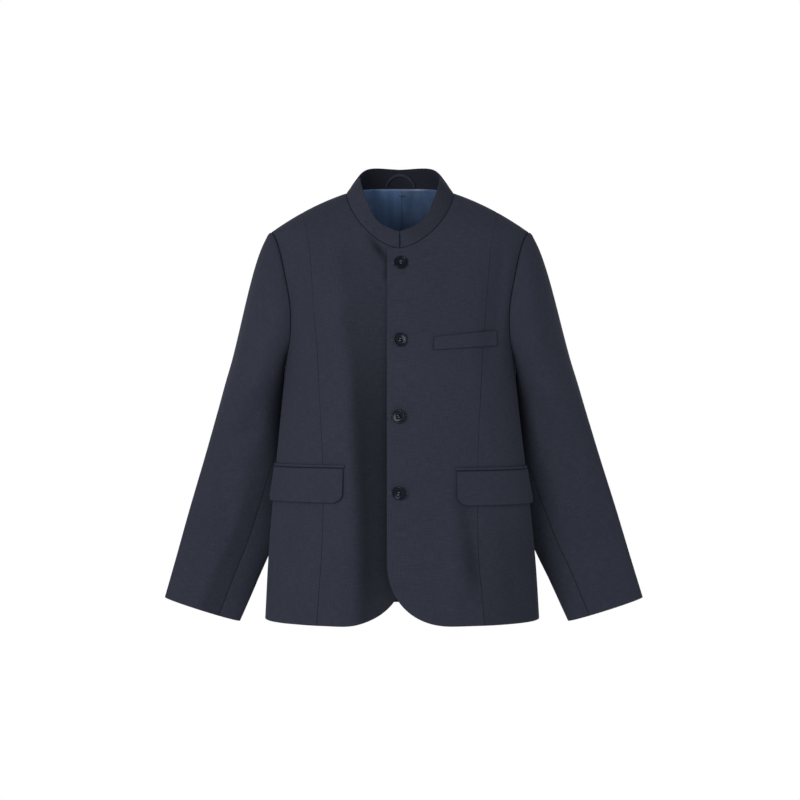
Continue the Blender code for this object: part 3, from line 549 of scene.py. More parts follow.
def body(turn, z, side, lift=0.0):
    """A point of the body's outer face, moved out by lift, and the outward direction there."""
    angle = turn * math.pi / 2
    front = turn <= 1
    power = FRONT_ROUND if front else BACK_ROUND
    line = front_line if front else back_line
    wide, deep = half_width(z), line(z)
    across = math.copysign(abs(math.sin(angle)) ** (2 / power), math.sin(angle))
    along = max(abs(math.cos(angle)), 1e-9) ** (2 / power)
    step = 1e-5
    wide_slope = (half_width(z + step) - wide) / step
    deep_slope = (line(z + step) - deep) / step
    y_sign = -1 if front else 1
    outward = unit(
        np.array(
            [
                side * math.copysign(abs(across) ** (power - 1), across) / wide,
                y_sign * along ** (power - 1) / deep,
                -(abs(across) ** power * wide_slope / wide + along**power * deep_slope / deep),
            ]
        )
    )
    x, y = across * wide, y_sign * along * deep
    lift = lift + drape(turn, z, side)
    if front:
        lift += lap(x, z, side)
    sway = HEM_SWAY * fade(-z, *SWAY_GROWS) * across * across
    return np.array([side * x + sway, y, z]) + outward * lift, outward


def armhole(degrees):
    """Turn and height on the armhole: 0 at the shoulder, 90 front, 180 underarm, 270 back."""
    angle = math.radians(degrees)
    middle, half = (UNDERARM - SHOULDER_DROP) / 2, (-SHOULDER_DROP - UNDERARM) / 2
    power = ARMHOLE_TOP_POWER if math.cos(angle) > 0 else ARMHOLE_FOOT_POWER
    bite = abs(math.sin(angle)) ** power if abs(math.sin(angle)) > 1e-9 else 0.0
    turn = 1 - ARMHOLE_FRONT * bite if math.sin(angle) >= 0 else 1 + ARMHOLE_BACK * bite
    return turn, middle + half * math.cos(angle)


def front_neck(share):
    """Distance from the centre and height on the front neckline, from the centre to the shoulder."""
    angle = share * math.pi / 2
    x = NECK_SIDE * math.sin(angle) ** (2 / NECK_ROUND)
    return x, -NECK_DROP * max(0.0, math.cos(angle)) ** (2 / NECK_ROUND)


PRINCESS_TOP = shoulder_height(PRINCESS_SHOULDER)
princess = smooth_table(PRINCESS + [(PRINCESS_TOP, PRINCESS_SHOULDER)])
SEAM_HEIGHTS = list(np.linspace(HEM, UNDERARM, BODY_STEPS + 1))


def raised_hem(hem):
    """Heights of the rows of a seam whose foot lies at another height than the hem of the fronts."""
    rows = HEM_RISE_SHARE * BODY_STEPS
    return [z + (hem - HEM) * max(0.0, 1 - k / rows) for k, z in enumerate(SEAM_HEIGHTS)]


SIDE_HEIGHTS = raised_hem(SIDE_HEM)
MIDDLE_HEIGHTS = raised_hem(BACK_HEM)
PRINCESS_HEIGHTS = SEAM_HEIGHTS + list(np.linspace(UNDERARM, PRINCESS_TOP, ARMHOLE_STEPS + 1))[1:]
YOKE_HEIGHTS = list(np.linspace(-SHOULDER_DROP, PRINCESS_TOP, YOKE_STEPS + 1))
NECK_HEIGHTS = list(np.linspace(PRINCESS_TOP, 0.0, NECK_STEPS + 1))


# ------------------------------------------------------------------ cloth shells


def add_edge_lines(grid):
    """Adds lines to a grid beside its four edges, for the roll there."""
    for axis in (0, 1):
        grid = np.moveaxis(grid, axis, 0)
        first = [grid[0] + (grid[1] - grid[0]) * s for s in EDGE_SHARES]
        last = [grid[-1] + (grid[-2] - grid[-1]) * s for s in reversed(EDGE_SHARES)]
        grid = np.concatenate([grid[:1], first, grid[1:-1], last, grid[-1:]])
        grid = np.moveaxis(grid, 0, axis)
    return grid


def grid_points(cells, side, lift=0.0):
    """Points and outward directions for a grid of (turn, height) cells."""
    pairs = [[body(turn, z, side, lift) for turn, z in row] for row in cells]
    points = np.array([[p for p, _ in row] for row in pairs])
    return points, np.array([[n for _, n in row] for row in pairs])


def edge_distances(points):
    """Distance of each grid point from the foot, head, start and end edges, along the grid's lines."""
    rows = np.linalg.norm(np.diff(points, axis=0), axis=2)
    foot = np.concatenate([np.zeros((1, points.shape[1])), np.cumsum(rows, axis=0)])
    columns = np.linalg.norm(np.diff(points, axis=1), axis=2)
    start = np.concatenate([np.zeros((points.shape[0], 1)), np.cumsum(columns, axis=1)], axis=1)
    return {"foot": foot, "head": foot[-1:] - foot, "start": start, "end": start[:, -1:] - start}


def rolled(distance, radius):
    """How far a face falls in beside an edge with a round roll."""
    inside = np.clip(radius - distance, 0, radius)
    return radius - np.sqrt(np.maximum(radius**2 - inside**2, 0))


EDGE_ROWS = {
    "foot": (np.s_[0], np.s_[1]),
    "head": (np.s_[-1], np.s_[-2]),
    "start": (np.s_[:, 0], np.s_[:, 1]),
    "end": (np.s_[:, -1], np.s_[:, -2]),
}  # of a grid: each edge and the line beside it


def shell_faces(rows, columns):
    """Faces of a grid, and of the closed shell whose inner points follow the outer ones."""
    index = np.arange(rows * columns).reshape(rows, columns)
    corners = [index[:-1, :-1], index[:-1, 1:], index[1:, 1:], index[1:, :-1]]
    quads = np.stack(corners, axis=-1).reshape(-1, 4)
    rim = np.concatenate([index[0, :-1], index[:-1, -1], index[-1, :0:-1], index[:0:-1, 0]])
    after, behind = np.roll(rim, -1), rows * columns
    side = np.stack([rim, rim + behind, after + behind, after], axis=-1)
    return quads, np.concatenate([quads, quads[:, ::-1] + behind, side])


def add_cloth(name, points, outward, wall, edges, looks, grain, lined=None, painted_shade=None, inside=0.0):
    """A closed cloth shell under a grid of points, its edges rolled as edges says for each of the four.

    looks are the materials of the outer face and of the lined part of the inner face, grain gives
    the place of each point on the flat cloth, hollow how much shade is painted on the outer face for
    deep folds and shaded sides, and inside how much shade is painted on the inner face.
    """
    far = edge_distances(points)
    fall = np.max([rolled(far[edge], kind.radius) for edge, kind in edges.items()], axis=0)
    # painted shade in the seam grooves, fading out from each edge
    seams = [kind.dark * np.exp(-((far[edge] / kind.reach) ** 2)) for edge, kind in edges.items()]
    shade = np.max(seams, axis=0)
    if painted_shade is not None:
        shade = 1 - (1 - shade) * (1 - painted_shade)
    for edge in edges:
        at_edge, beside = EDGE_ROWS[edge]
        inward = points[beside] - points[at_edge]
        points[at_edge] += inward * (SEAM_GAP / 2 / np.linalg.norm(inward, axis=-1, keepdims=True))
    outer = points - outward * fall[..., None]
    inner_depth = np.maximum(wall - np.minimum(fall, INNER_ROLL * wall), fall + LEAST_WALL)
    inner = points - outward * inner_depth[..., None]
    quads, faces = shell_faces(*points.shape[:2])
    vertices = np.concatenate([outer.reshape(-1, 3), inner.reshape(-1, 3)])
    a, b, c, d = (vertices[quads[:, k]] for k in range(4))
    if (np.cross(c - a, d - b) * outward.reshape(-1, 3)[quads[:, 0]]).sum() < 0:
        faces = faces[:, ::-1]
    mesh = bpy.data.meshes.new(name)
    mesh.from_pydata(vertices.tolist(), [], faces.tolist())
    for look in looks:
        mesh.materials.append(look)
    mesh.polygons.foreach_set("use_smooth", np.ones(len(faces), bool))
    if lined is not None:
        slots = np.zeros(len(faces), np.int32)
        slots[len(quads) : 2 * len(quads)] = lined.reshape(-1)[quads].all(axis=1)
        mesh.polygons.foreach_set("material_index", slots)
    flat = np.asarray(grain, float).reshape(-1, 2) + len(bpy.data.meshes) * np.array(GRAIN_SHIFT)
    flat = np.concatenate([flat, flat])
    corners = np.zeros(len(mesh.loops), np.int32)
    mesh.loops.foreach_get("vertex_index", corners)
    mesh.uv_layers.new(name="grain").data.foreach_set("uv", flat[corners].astype(np.float32).reshape(-1))
    # painted shade of the outer and the inner face, kept as an attribute that darkens the materials
    dark = np.stack([shade, np.broadcast_to(inside, shade.shape)]).astype(np.float32).reshape(-1)
    mesh.attributes.new("shade", "FLOAT", "POINT").data.foreach_set("value", dark)
    mesh.validate()
    return add_piece(name, mesh)


def plain_grain(points):
    """The grain of a small piece, along its own two directions."""
    far = edge_distances(points)
    return np.stack([far["start"], far["foot"]], axis=-1)


def body_grain(cells, side):
    """The grain of a body panel: straight up, and across by the turn."""
    cells = np.asarray(cells)
    return np.stack([side * cells[..., 0] * QUARTER, cells[..., 1]], axis=-1)


def add_piece(name, mesh):
    made = bpy.data.objects.new(name, mesh)
    bpy.context.scene.collection.objects.link(made)
    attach(made, "root")
    return made


def front_cells(overlap):
    """Cells of a centre front, from the hem to the neckline, from its edge to the princess seam."""
    right = [(princess(z), z) for z in PRINCESS_HEIGHTS] + [(half_width(z), z) for z in NECK_HEIGHTS[1:]]
    corner_x, corner_z = CORNER_WIDE - overlap, HEM + CORNER_HIGH
    left = []
    for angle in np.linspace(0, math.pi / 2, CORNER_STEPS + 1):
        x = corner_x - CORNER_WIDE * math.sin(angle) ** (2 / CORNER_ROUND)
        left.append((x, corner_z - CORNER_HIGH * max(0.0, math.cos(angle)) ** (2 / CORNER_ROUND)))
    straight = list(np.linspace(corner_z, FRONT_LEVEL, BODY_STEPS - CORNER_STEPS + 1))[1:]
    straight += list(np.linspace(FRONT_LEVEL, -NECK_DROP, ARMHOLE_STEPS + NECK_STEPS + 1))[1:]
    left += [(-overlap, z) for z in straight]
    neck = [(-overlap * (1 - c / OVERLAP_COLUMNS), -NECK_DROP) for c in range(OVERLAP_COLUMNS)]
    neck += [front_neck(c / FRONT_COLUMNS) for c in range(FRONT_COLUMNS + 1)]
    across = [(x + overlap) / (NECK_SIDE + overlap) for x, _ in neck]
    up = [1 + z / NECK_DROP for _, z in neck]
    places = []
    for (left_x, left_z), (right_x, right_z) in zip(left, right):
        row = [(left_x + (right_x - left_x) * a, left_z + (right_z - left_z) * u) for a, u in zip(across, up)]
        places.append(row)
    places = add_edge_lines(np.array(places))
    return [[(turn_at(x, z), z) for x, z in row] for row in places]


def side_front_cells():
    """Cells of a side front, from the princess seam to the side seam and armhole."""
    left = np.array([(turn_at(princess(z), z), z) for z in PRINCESS_HEIGHTS])
    right = [(1.0, z) for z in SIDE_HEIGHTS]
    right += [armhole(180 - 180 * k / ARMHOLE_STEPS) for k in range(1, ARMHOLE_STEPS + 1)]
    shares = np.linspace(0, 1, SIDE_COLUMNS + 1)[None, :, None]
    return add_edge_lines(left[:, None] + (np.array(right) - left)[:, None] * shares)


def back_cells():
    """Cells of half the back, from the centre back to the side seam, armhole and shoulder seam."""
    outer = [(1.0, z) for z in SIDE_HEIGHTS]
    outer += [armhole(180 + 180 * k / ARMHOLE_STEPS) for k in range(1, ARMHOLE_STEPS + 1)]
    outer += [(1.0, z) for z in YOKE_HEIGHTS[1:] + NECK_HEIGHTS[1:]]
    middle = MIDDLE_HEIGHTS + list(np.linspace(UNDERARM, BACK_YOKE, ARMHOLE_STEPS + 1))[1:]
    middle += list(np.linspace(BACK_YOKE, NECK_RISE, YOKE_STEPS + NECK_STEPS + 1))[1:]
    shares = np.linspace(0, 1, BACK_COLUMNS + 1)
    cells = []
    for (turn, side_z), middle_z in zip(outer, middle):
        cells.append([(2 - (2 - turn) * c, middle_z + (side_z - middle_z) * c**3) for c in shares])
    return np.array(cells)


def back_grid(cells):
    """Points and outward directions of the back, across from the wearer's right to the left."""
    one, one_out = grid_points(cells, -1)
    other, other_out = grid_points(cells[:, 1:], +1)
    points = np.concatenate([one[:, ::-1], other], axis=1)
    return points, np.concatenate([one_out[:, ::-1], other_out], axis=1)


def add_fronts(looks):
    for side, word in ((+1, "left"), (-1, "right")):
        cells = front_cells(OVERLAP[side])
        points, outward = grid_points(cells, side)
        edges = {"start": FREE, "foot": FREE, "end": FINE_SEAM, "head": COLLAR_SEAM}
        lined = (np.abs(points[..., 0]) > FACING_WIDE) & (points[..., 2] > HEM + HEM_TURN)
        # painted shade of the fold beside the overlap and of the shaded creases
        painted_shade = np.array([[painted_front_shade(turn, z, side) for turn, z in row] for row in cells])
        node, grain = f"front_{word}", body_grain(cells, side)
        made = add_cloth(node + "_cloth", points, outward, SHELL_WALL, edges, looks, grain, lined, painted_shade)
        declare(node)
        cells = side_front_cells()
        points, outward = grid_points(cells, side)
        edges = {"start": FINE_SEAM, "foot": FREE, "end": ARMHOLE_SEAM, "head": FINE_SEAM}
        lined = points[..., 2] > HEM + HEM_TURN
        # painted shade on the left side front below its flap
        dark = SIDE_DARK if side > 0 else 0.0
        painted_shade = np.array([[dark * fade(-z, *SIDE_DARK_GROWS) for _, z in row] for row in cells])
        node, grain = f"side_front_{word}", body_grain(cells, side)
        made = add_cloth(node + "_cloth", points, outward, SHELL_WALL, edges, looks, grain, lined, painted_shade)
        declare(node)


def add_back(looks):
    fine = add_edge_lines(back_cells())
    keep = [0] + list(range(1 + len(EDGE_SHARES), fine.shape[1]))  # no edge at the centre back
    half = fine[:, keep]
    points, outward = back_grid(half)
    edges = {"start": ARMHOLE_SEAM, "end": ARMHOLE_SEAM, "foot": FREE, "head": COLLAR_SEAM}
    grain_left = body_grain(half[:, 1:], +1) + (4 * QUARTER, 0)
    grain = np.concatenate([body_grain(half, -1)[:, ::-1], grain_left], axis=1)
    grain[:, : half.shape[1], 0] += 8 * QUARTER
    made = add_cloth("back_cloth", points, outward, SHELL_WALL, edges, looks[:1], grain)
    declare("back")


def add_lining(looks):
    """The satin back lining, with a centre pleat folded to one side and soft folds beside it."""
    cells = back_cells()
    first = int(np.searchsorted(cells[:, 0, 1], BACK_HEM + LINING_FOOT))
    cells = cells[first:, :-LINING_SHORT]
    near = cells[:, :1] + (cells[:, 1:2] - cells[:, :1]) * np.linspace(0, 1, PLEAT_COLUMNS)[None, :, None]
    cells = np.concatenate([near[:, :-1], cells[:, 1:]], axis=1)
    points, outward = back_grid(cells)
    x = points[..., 0]
    aside = x - PLEAT_AT
    lift = PLEAT_DEPTH * np.exp(-np.maximum(aside, 0) / PLEAT_REACH) / (1 + np.exp(-aside / PLEAT_EDGE))
    # painted shade of the lining: dark in the pleat's fold, further down, and behind the pleat on the
    # wearer's left
    shade = PLEAT_DARK * np.exp(-(((aside - PLEAT_DARK_AT) / PLEAT_DARK_HALF) ** 2))
    for (r, c), across in np.ndenumerate(x):
        deep = LINING_DARK * fade(-points[r, c, 2], *LINING_DARK_DOWN) * fade(across, *LINING_DARK_ACROSS)
        lit = (1 - deep) * (1 - LINING_SIDE_DARK * fade(across, *LINING_SIDE_ACROSS))
        shade[r, c] = 1 - (1 - shade[r, c]) * lit
    for fold in LINING_FOLDS:
        lift += fold.depth * np.exp(-(((x - fold.x) / fold.half) ** 2))
    lift = lift * np.clip(edge_distances(points)["head"] / LINING_SEWN, 0, 1)
    points = points - outward * (SHELL_WALL + LINING_GAP + lift)[..., None]
    points[-1, :, 2] += LINING_TUCK  # its top edge is caught in the collar seam
    grain = points[..., [0, 2]].copy()
    edges = {"start": THIN_FREE, "end": THIN_FREE, "foot": THIN_FREE, "head": THIN_FREE}
    made = add_cloth("back_lining_cloth", points, outward, LINING_WALL, edges, looks, grain, inside=shade)
    declare("back_lining")


# ------------------------------------------------------------------ sleeves


def sleeve_rings(side, degrees):
    """Points of the armhole and of each sleeve ring at one angle round the sleeve."""
    angle = math.radians(degrees)
    turn, z = armhole(degrees)
    points = [body(turn, z, side)[0]]
    for ring in SLEEVE_RINGS:
        out_edge = np.array([ring.out_x, ring.out_z])
        in_edge = np.array([ring.in_x, ring.in_z])
        x, z = (out_edge + in_edge) / 2 + (out_edge - in_edge) / 2 * math.cos(angle)
        outside = (1 + math.cos(angle)) / 2
        x += SLEEVE_SWING[side] * (-SHOULDER_DROP - z) * max(outside, fade(-z, *SWING_DOWN))
        deep = ring.front_deep if math.sin(angle) > 0 else ring.back_deep
        points.append(np.array([side * x, ring.middle_y - deep * math.sin(angle), z]))
    return np.array(points)


RING_CENTRES = np.array(
    [(ARMHOLE_MIDDLE, 0.0, (UNDERARM - SHOULDER_DROP) / 2)]
    + [((r.out_x + r.in_x) / 2, r.middle_y, (r.out_z + r.in_z) / 2) for r in SLEEVE_RINGS]
)
RING_KNOTS = np.concatenate([[0], np.cumsum(np.linalg.norm(np.diff(RING_CENTRES, axis=0), axis=1))])
forearm_seam = smooth_table(list(zip(RING_KNOTS, [FOREARM_SEAM] + [r.forearm for r in SLEEVE_RINGS])))


def sleeve_point(side, degrees, at):
    """A point of the sleeve, at degrees round it and at a distance down from the armhole."""
    rings = sleeve_rings(side, degrees)
    angle = math.radians(degrees)
    k = int(np.clip(np.searchsorted(RING_KNOTS, at) - 1, 0, len(rings) - 2))
    tangents = []
    for ring in (k, k + 1):
        before, after = max(ring - 1, 0), min(ring + 1, len(rings) - 1)
        tangents.append((rings[after] - rings[before]) / (RING_KNOTS[after] - RING_KNOTS[before]))
    if k == 0:
        weights = {
            "top": max(0.0, math.cos(angle)) ** 2,
            "front": max(0.0, math.sin(angle)) ** 2,
            "under": max(0.0, -math.cos(angle)) ** 2,
            "back": max(0.0, -math.sin(angle)) ** 2,
        }
        leave = sum(weights[name] * np.array(CAP_LEAVES[name]) for name in weights) * np.array([side, 1, 1])
        tangents[0] = leave * np.linalg.norm(rings[1] - rings[0]) / RING_KNOTS[1]
    step = RING_KNOTS[k + 1] - RING_KNOTS[k]
    return between((at - RING_KNOTS[k]) / step, step, rings[k : k + 2], tangents)


def wrapped(degrees):
    """The same angle between -180 and 180 degrees."""
    return (degrees + 180) % 360 - 180


def sleeve_drape(side, at, degrees):
    """The soft folds and the creases of a sleeve, and its raised head."""
    along = at / RING_KNOTS[-1]
    total = 0.0
    for fold in SLEEVE_FOLDS:
        if fold.side == side:
            away = wrapped(degrees - fold.around - fold.slant * (along - fold.along))
            across = 1 - fade(abs(away), 0.0, fold.half_around)
            total += fold.depth * across * (1 - fade(abs(along - fold.along), 0.0, fold.half_along))
    for crease in SLEEVE_CREASES:
        if crease.side == side:
            around = wrapped(degrees - crease.from_around)
            end = (crease.to_around - crease.from_around) * SLEEVE_DEGREE, crease.to_along * RING_KNOTS[-1]
            start = 0.0, crease.from_along * RING_KNOTS[-1]
            total += bump_along(around * SLEEVE_DEGREE, at, start, end, crease.depth, crease.half)
    head = fade(wrapped(degrees), *CAP_BACK) * fade(wrapped(degrees), *CAP_FRONT)
    swell = math.exp(-(((at - CAP_RISE_AT) / CAP_RISE_AT) ** 2))
    return total + CAP_RISE * head * swell * fade(at, 0, CAP_SEAM)


def sleeve_shade(side, at, degrees):
    """How much shade is painted on the right sleeve, from the crease down its forearm to the seam."""
    if side > 0:
        return 0.0
    along = at / RING_KNOTS[-1]
    crease = FRONT_CREASE - FRONT_CREASE_MOVES * fade(along, *FRONT_CREASE_ALONG)
    start, end = (crease + soft for soft in FRONT_CREASE_SOFT)
    return SLEEVE_DARK * fade(degrees, start, end) * fade(along, *SLEEVE_DARK_ALONG)


def add_sleeve_part(word, side, upper, looks):
    """The upper or the under part of a sleeve between its two seams, from the armhole to the cuff."""
    stations = list(np.linspace(0, RING_KNOTS[1], CAP_STEPS + 1))
    for low, high in zip(RING_KNOTS[1:], RING_KNOTS[2:]):
        stations += list(np.linspace(low, high, RING_STEPS + 1))[1:]
    if upper:
        spans = [(HINDARM_SEAM - 360, forearm_seam(at), UPPER_COLUMNS) for at in stations]
    else:
        spans = [(forearm_seam(at), HINDARM_SEAM, UNDER_COLUMNS) for at in stations]
    cells = [[(a, at) for a in np.linspace(low, high, n + 1)] for at, (low, high, n) in zip(stations, spans)]
    cells = add_edge_lines(np.array(cells))

    def grid(turned):
        return np.array([[sleeve_point(side, a + turned, at) for a, at in row] for row in cells])

    points = grid(0.0)
    around, down = grid(0.5) - grid(-0.5), np.gradient(points, axis=0)
    outward = np.cross(around, down) * side
    outward /= np.linalg.norm(outward, axis=2, keepdims=True)
    folds = np.array([[sleeve_drape(side, at, a) for a, at in row] for row in cells])
    points = points + outward * folds[..., None]
    for c, (degrees, _) in enumerate(cells[0]):
        outward[0, c] = body(*armhole(degrees % 360), side)[1]
    edges = {"foot": ARMHOLE_SEAM, "head": FREE, "start": FINE_SEAM, "end": FINE_SEAM}
    lined = cells[..., 1] < RING_KNOTS[-1] - HEM_TURN
    grain = cells * (side * SLEEVE_DEGREE, -1.0)
    # painted shade on the upper part of the right sleeve
    painted_shade = np.array([[sleeve_shade(side, at, a) if upper else 0.0 for a, at in row] for row in cells])
    node = f"{'upper' if upper else 'under'}_sleeve_{word}"
    made = add_cloth(node + "_cloth", points, outward, SHELL_WALL, edges, looks, grain, lined, painted_shade)
    declare(node)


# ------------------------------------------------------------------ collar and hanger loop


def neckline(place):
    """Point and outward direction on the neckline for places 0 (left end) to 4 (right end)."""
    side, half = (+1, place) if place <= 2 else (-1, 4 - place)
    if half <= 1:
        x, z = front_neck(half)
        return body(turn_at(x, z), z, side)
    return body(half, NECK_RISE * (1 - (2 - half) ** 3), side)


collar_height = smooth_table([(c.place, c.height) for c in COLLAR])
collar_lean = smooth_table([(c.place, c.lean) for c in COLLAR])


def collar_frame(place):
    """Seam point, outward direction of the body, and the collar's own up and outward directions."""
    base, outward = neckline(place)
    step = 0.01
    after, before = neckline(min(4, place + step))[0], neckline(max(0, place - step))[0]
    along = unit(after - before)
    upright = unit(np.array([0, 0, 1]) - along[2] * along)
    lean = math.radians(collar_lean(min(place, 4 - place)))
    rise = math.cos(lean) * upright + math.sin(lean) * unit(np.cross(upright, along))
    return base, outward, rise, np.cross(along, rise)


def add_collar(looks):
    """The stand: a band on the neckline whose ends meet at the centre front."""
    places = list(np.linspace(0, 1, FRONT_COLUMNS + 1))
    places += list(np.linspace(1, 3, 2 * BACK_COLUMNS + 1))[1:]
    places += list(np.linspace(3, 4, FRONT_COLUMNS + 1))[1:]
    shares = np.linspace(0, 1, COLLAR_ROWS)
    cells = add_edge_lines(np.array([[(place, share) for place in places] for share in shares]))
    points, walls = np.zeros(cells.shape[:2] + (3,)), np.zeros(cells.shape[:2] + (3,))
    for c, place in enumerate(cells[0, :, 0]):
        base, outward, rise, across = collar_frame(place)
        high = collar_height(min(place, 4 - place))
        near_end = fade(min(place, 4 - place), COLLAR_PARTS, 0.0) * (1 if place < 2 else -1)
        for r, share in enumerate(cells[:, c, 1]):
            bulge = COLLAR_BULGE * math.sin(math.pi * share)
            points[r, c] = base + rise * share * high + across * bulge
            walls[r, c] = unit(outward + (across - outward) * fade(share, 0.0, COLLAR_FOOT))
            points[r, c, 0] += near_end * (COLLAR_SPLIT + (COLLAR_OPEN - COLLAR_SPLIT) * share)
    edges = {"foot": COLLAR_SEAM, "head": COLLAR_FREE, "start": COLLAR_FREE, "end": COLLAR_FREE}
    # painted shade on the collar's left side
    left = [[fade(p, *COLLAR_DARK_FROM) * fade(p, *COLLAR_DARK_TO) for p, _ in row] for row in cells]
    grain, painted_shade = plain_grain(points), COLLAR_DARK * np.array(left)
    made = add_cloth(
        "collar_cloth", points, walls, COLLAR_WALL, edges, looks[:1], grain,
        painted_shade=painted_shade, inside=COLLAR_INSIDE,
    )
    declare("collar")


def add_hanger_loop(looks):
    """A pressed strip of cloth, arched on the inside of the back collar."""
    wide = half_width(NECK_RISE)
    angles = np.linspace(0, math.pi, LOOP_COLUMNS)
    sides = np.linspace(-0.5, 0.5, LOOP_ROWS)
    points, outward = np.zeros((len(sides), len(angles), 3)), np.zeros((len(sides), len(angles), 3))
    for c, angle in enumerate(angles):
        x, h = LOOP_HALF * math.cos(angle), LOOP_SEAM + LOOP_RISE * math.sin(angle)
        tangent = unit(np.array([-LOOP_HALF * math.sin(angle), LOOP_RISE * math.cos(angle)]))
        for r, half in enumerate(sides):
            at_x, at_h = x - tangent[1] * half * LOOP_WIDE, h + tangent[0] * half * LOOP_WIDE
            share = (abs(at_x) / wide) ** (BACK_ROUND / 2)
            base, _, rise, across = collar_frame(2 - math.copysign(math.asin(share) * 2 / math.pi, at_x))
            points[r, c] = base + rise * at_h - across * (COLLAR_WALL + LAID_GAP + LOOP_WALL)
            outward[r, c] = -across
    edges = {"foot": LOOP_FREE, "head": LOOP_FREE, "start": THIN_FREE, "end": THIN_FREE}
    made = add_cloth("hanger_loop_cloth", points, outward, LOOP_WALL, edges, looks[:1], plain_grain(points))
    declare("hanger_loop")


# ------------------------------------------------------------------ pockets


def flap_turns(widen=0.0):
    """Turns of a flap's inner and outer ends at its top edge."""
    return turn_at(FLAP_START - widen, FLAP_TOP), FLAP_TURN + widen / FLAP_QUARTER


def add_flap(word, side, looks):
    """A pocket flap with rounded lower corners that stands off a little at its foot."""
    inner, outer_end = flap_turns()
    ends = FLAP_CORNER / FLAP_LONG * np.array([0, 0.01, 0.03, 0.07, 0.13, 0.21, 0.31, 0.43, 0.57, 0.72, 0.86])
    shares = np.concatenate([ends, np.linspace(ends[-1], 1 - ends[-1], 30)[1:-1], 1 - ends[::-1]])
    downs = np.concatenate([np.linspace(0, 1, 20)[:-1], [0.965, 0.98, 0.992, 1.0]])
    downs = np.sort(np.concatenate([downs, [0.006, 0.015, 0.03]]))
    points = np.zeros((len(downs), len(shares), 3))
    outward, grain = np.zeros_like(points), np.zeros((len(downs), len(shares), 2))
    for c, share in enumerate(shares):
        round_off = max(0.0, 1 - min(share, 1 - share) * FLAP_LONG / FLAP_CORNER)
        high = FLAP_HIGH - FLAP_CORNER * (1 - math.sqrt(1 - round_off**2))
        for r, down in enumerate(downs):
            z = FLAP_TOP - FLAP_DROP[side] - high * down
            flare = (FLAP_FLARE + FLAP_FLARE_SIDE * fade(share, 0.4, 1.0)) * down**1.5
            turn = inner + (outer_end - inner) * share
            points[r, c], outward[r, c] = body(turn, z, side, LAID_GAP + FLAP_WALL + flare)
            grain[r, c] = side * turn * QUARTER, z
    edges = {"foot": FLAP_SEAM, "head": FLAP_FREE, "start": FLAP_FREE, "end": FLAP_FREE}
    made = add_cloth(f"flap_{word}_cloth", points, outward, FLAP_WALL, edges, looks[:1], grain)
    declare(f"flap_{word}")


def add_jet(word, side, looks):
    """The narrow jet above a flap."""
    inner, outer_end = flap_turns(JET_PAST)
    foot = FLAP_TOP - FLAP_DROP[side] + JET_ABOVE
    turns = np.linspace(inner, outer_end, 44)
    cells = np.array([[(turn, foot + JET_HIGH * up) for turn in turns] for up in np.linspace(0, 1, 7)])
    cells = add_edge_lines(cells)
    points, outward = grid_points(cells, side, LAID_GAP + JET_WALL)
    edges = {"foot": JET_FOOT, "head": JET_HEAD, "start": JET_END, "end": JET_END}
    grain = body_grain(cells, side)
    made = add_cloth(f"jet_{word}_cloth", points, outward, JET_WALL, edges, looks[:1], grain)
    declare(f"jet_{word}")


def add_breast_welt(looks):
    """The slanting welt of the breast pocket, on the wearer's left."""
    ends = (WELT_INNER, WELT_OUTER)
    cells = []
    for down in np.linspace(1, 0, 9):
        row = []
        for share in np.linspace(0, 1, 33):
            inner, outer = ((1 - down) * np.array(top) + down * np.array(foot) for top, foot in ends)
            x, z = inner + (outer - inner) * share
            row.append((turn_at(x, z), z))
        cells.append(row)
    cells = add_edge_lines(np.array(cells))
    points, outward = grid_points(cells, +1, LAID_GAP + SHELL_WALL)
    edges = {"foot": FINE_SEAM, "head": WELT_HEAD, "start": FINE_SEAM, "end": FINE_SEAM}
    grain = body_grain(cells, +1)
    made = add_cloth("breast_welt_cloth", points, outward, SHELL_WALL, edges, looks[:1], grain)
    declare("breast_welt")


# ------------------------------------------------------------------ buttons, thread and buttonholes


def turned(profile, sides):
    """Points and faces of a solid turned about the z axis through (radius, height) rows."""
    points, faces = [], []
    for radius, height in profile:
        for k in range(sides):
            angle = 2 * math.pi * k / sides
            points.append((radius * math.cos(angle), radius * math.sin(angle), height))
    for r in range(len(profile) - 1):
        for k in range(sides):
            a, b = r * sides + k, r * sides + (k + 1) % sides
            faces.append((a, b, b + sides, a + sides))
    faces.append(tuple(range(sides - 1, -1, -1)))
    faces.append(tuple((len(profile) - 1) * sides + k for k in range(sides)))
    return np.array(points), faces


def tube(path, radius, sides=8, closed=False):
    """Points and faces of a round tube along a path."""
    path = np.array(path, float)
    count = len(path)
    points, faces = [], []
    for k in range(count):
        after = path[(k + 1) % count] if closed or k < count - 1 else path[k]
        before = path[k - 1] if closed or k > 0 else path[k]
        along = unit(after - before)
        across = unit(np.cross(along, (0.13, 0.21, 1.0)))
        up = np.cross(across, along)
        for s in range(sides):
            angle = 2 * math.pi * s / sides
            points.append(path[k] + radius * (math.cos(angle) * across + math.sin(angle) * up))
    for k in range(count if closed else count - 1):
        for s in range(sides):
            a, b = k * sides + s, k * sides + (s + 1) % sides
            c, d = ((k + 1) % count) * sides + (s + 1) % sides, ((k + 1) % count) * sides + s
            faces.append((a, b, c, d))
    if not closed:
        faces.append(tuple(range(sides - 1, -1, -1)))
        faces.append(tuple((count - 1) * sides + s for s in range(sides)))
    return np.array(points), faces


def join(parts):
    """Points and faces of several meshes as one."""
    points, faces, start = [], [], 0
    for more, more_faces in parts:
        points.append(np.asarray(more))
        faces += [tuple(start + i for i in face) for face in more_faces]
        start += len(more)
    return np.concatenate(points), faces


def add_turned(name, points, faces, look):
    mesh = bpy.data.meshes.new(name)
    mesh.from_pydata(points.tolist(), [], faces)
    mesh.materials.append(look)
    mesh.polygons.foreach_set("use_smooth", np.ones(len(faces), bool))
    return add_piece(name, mesh)


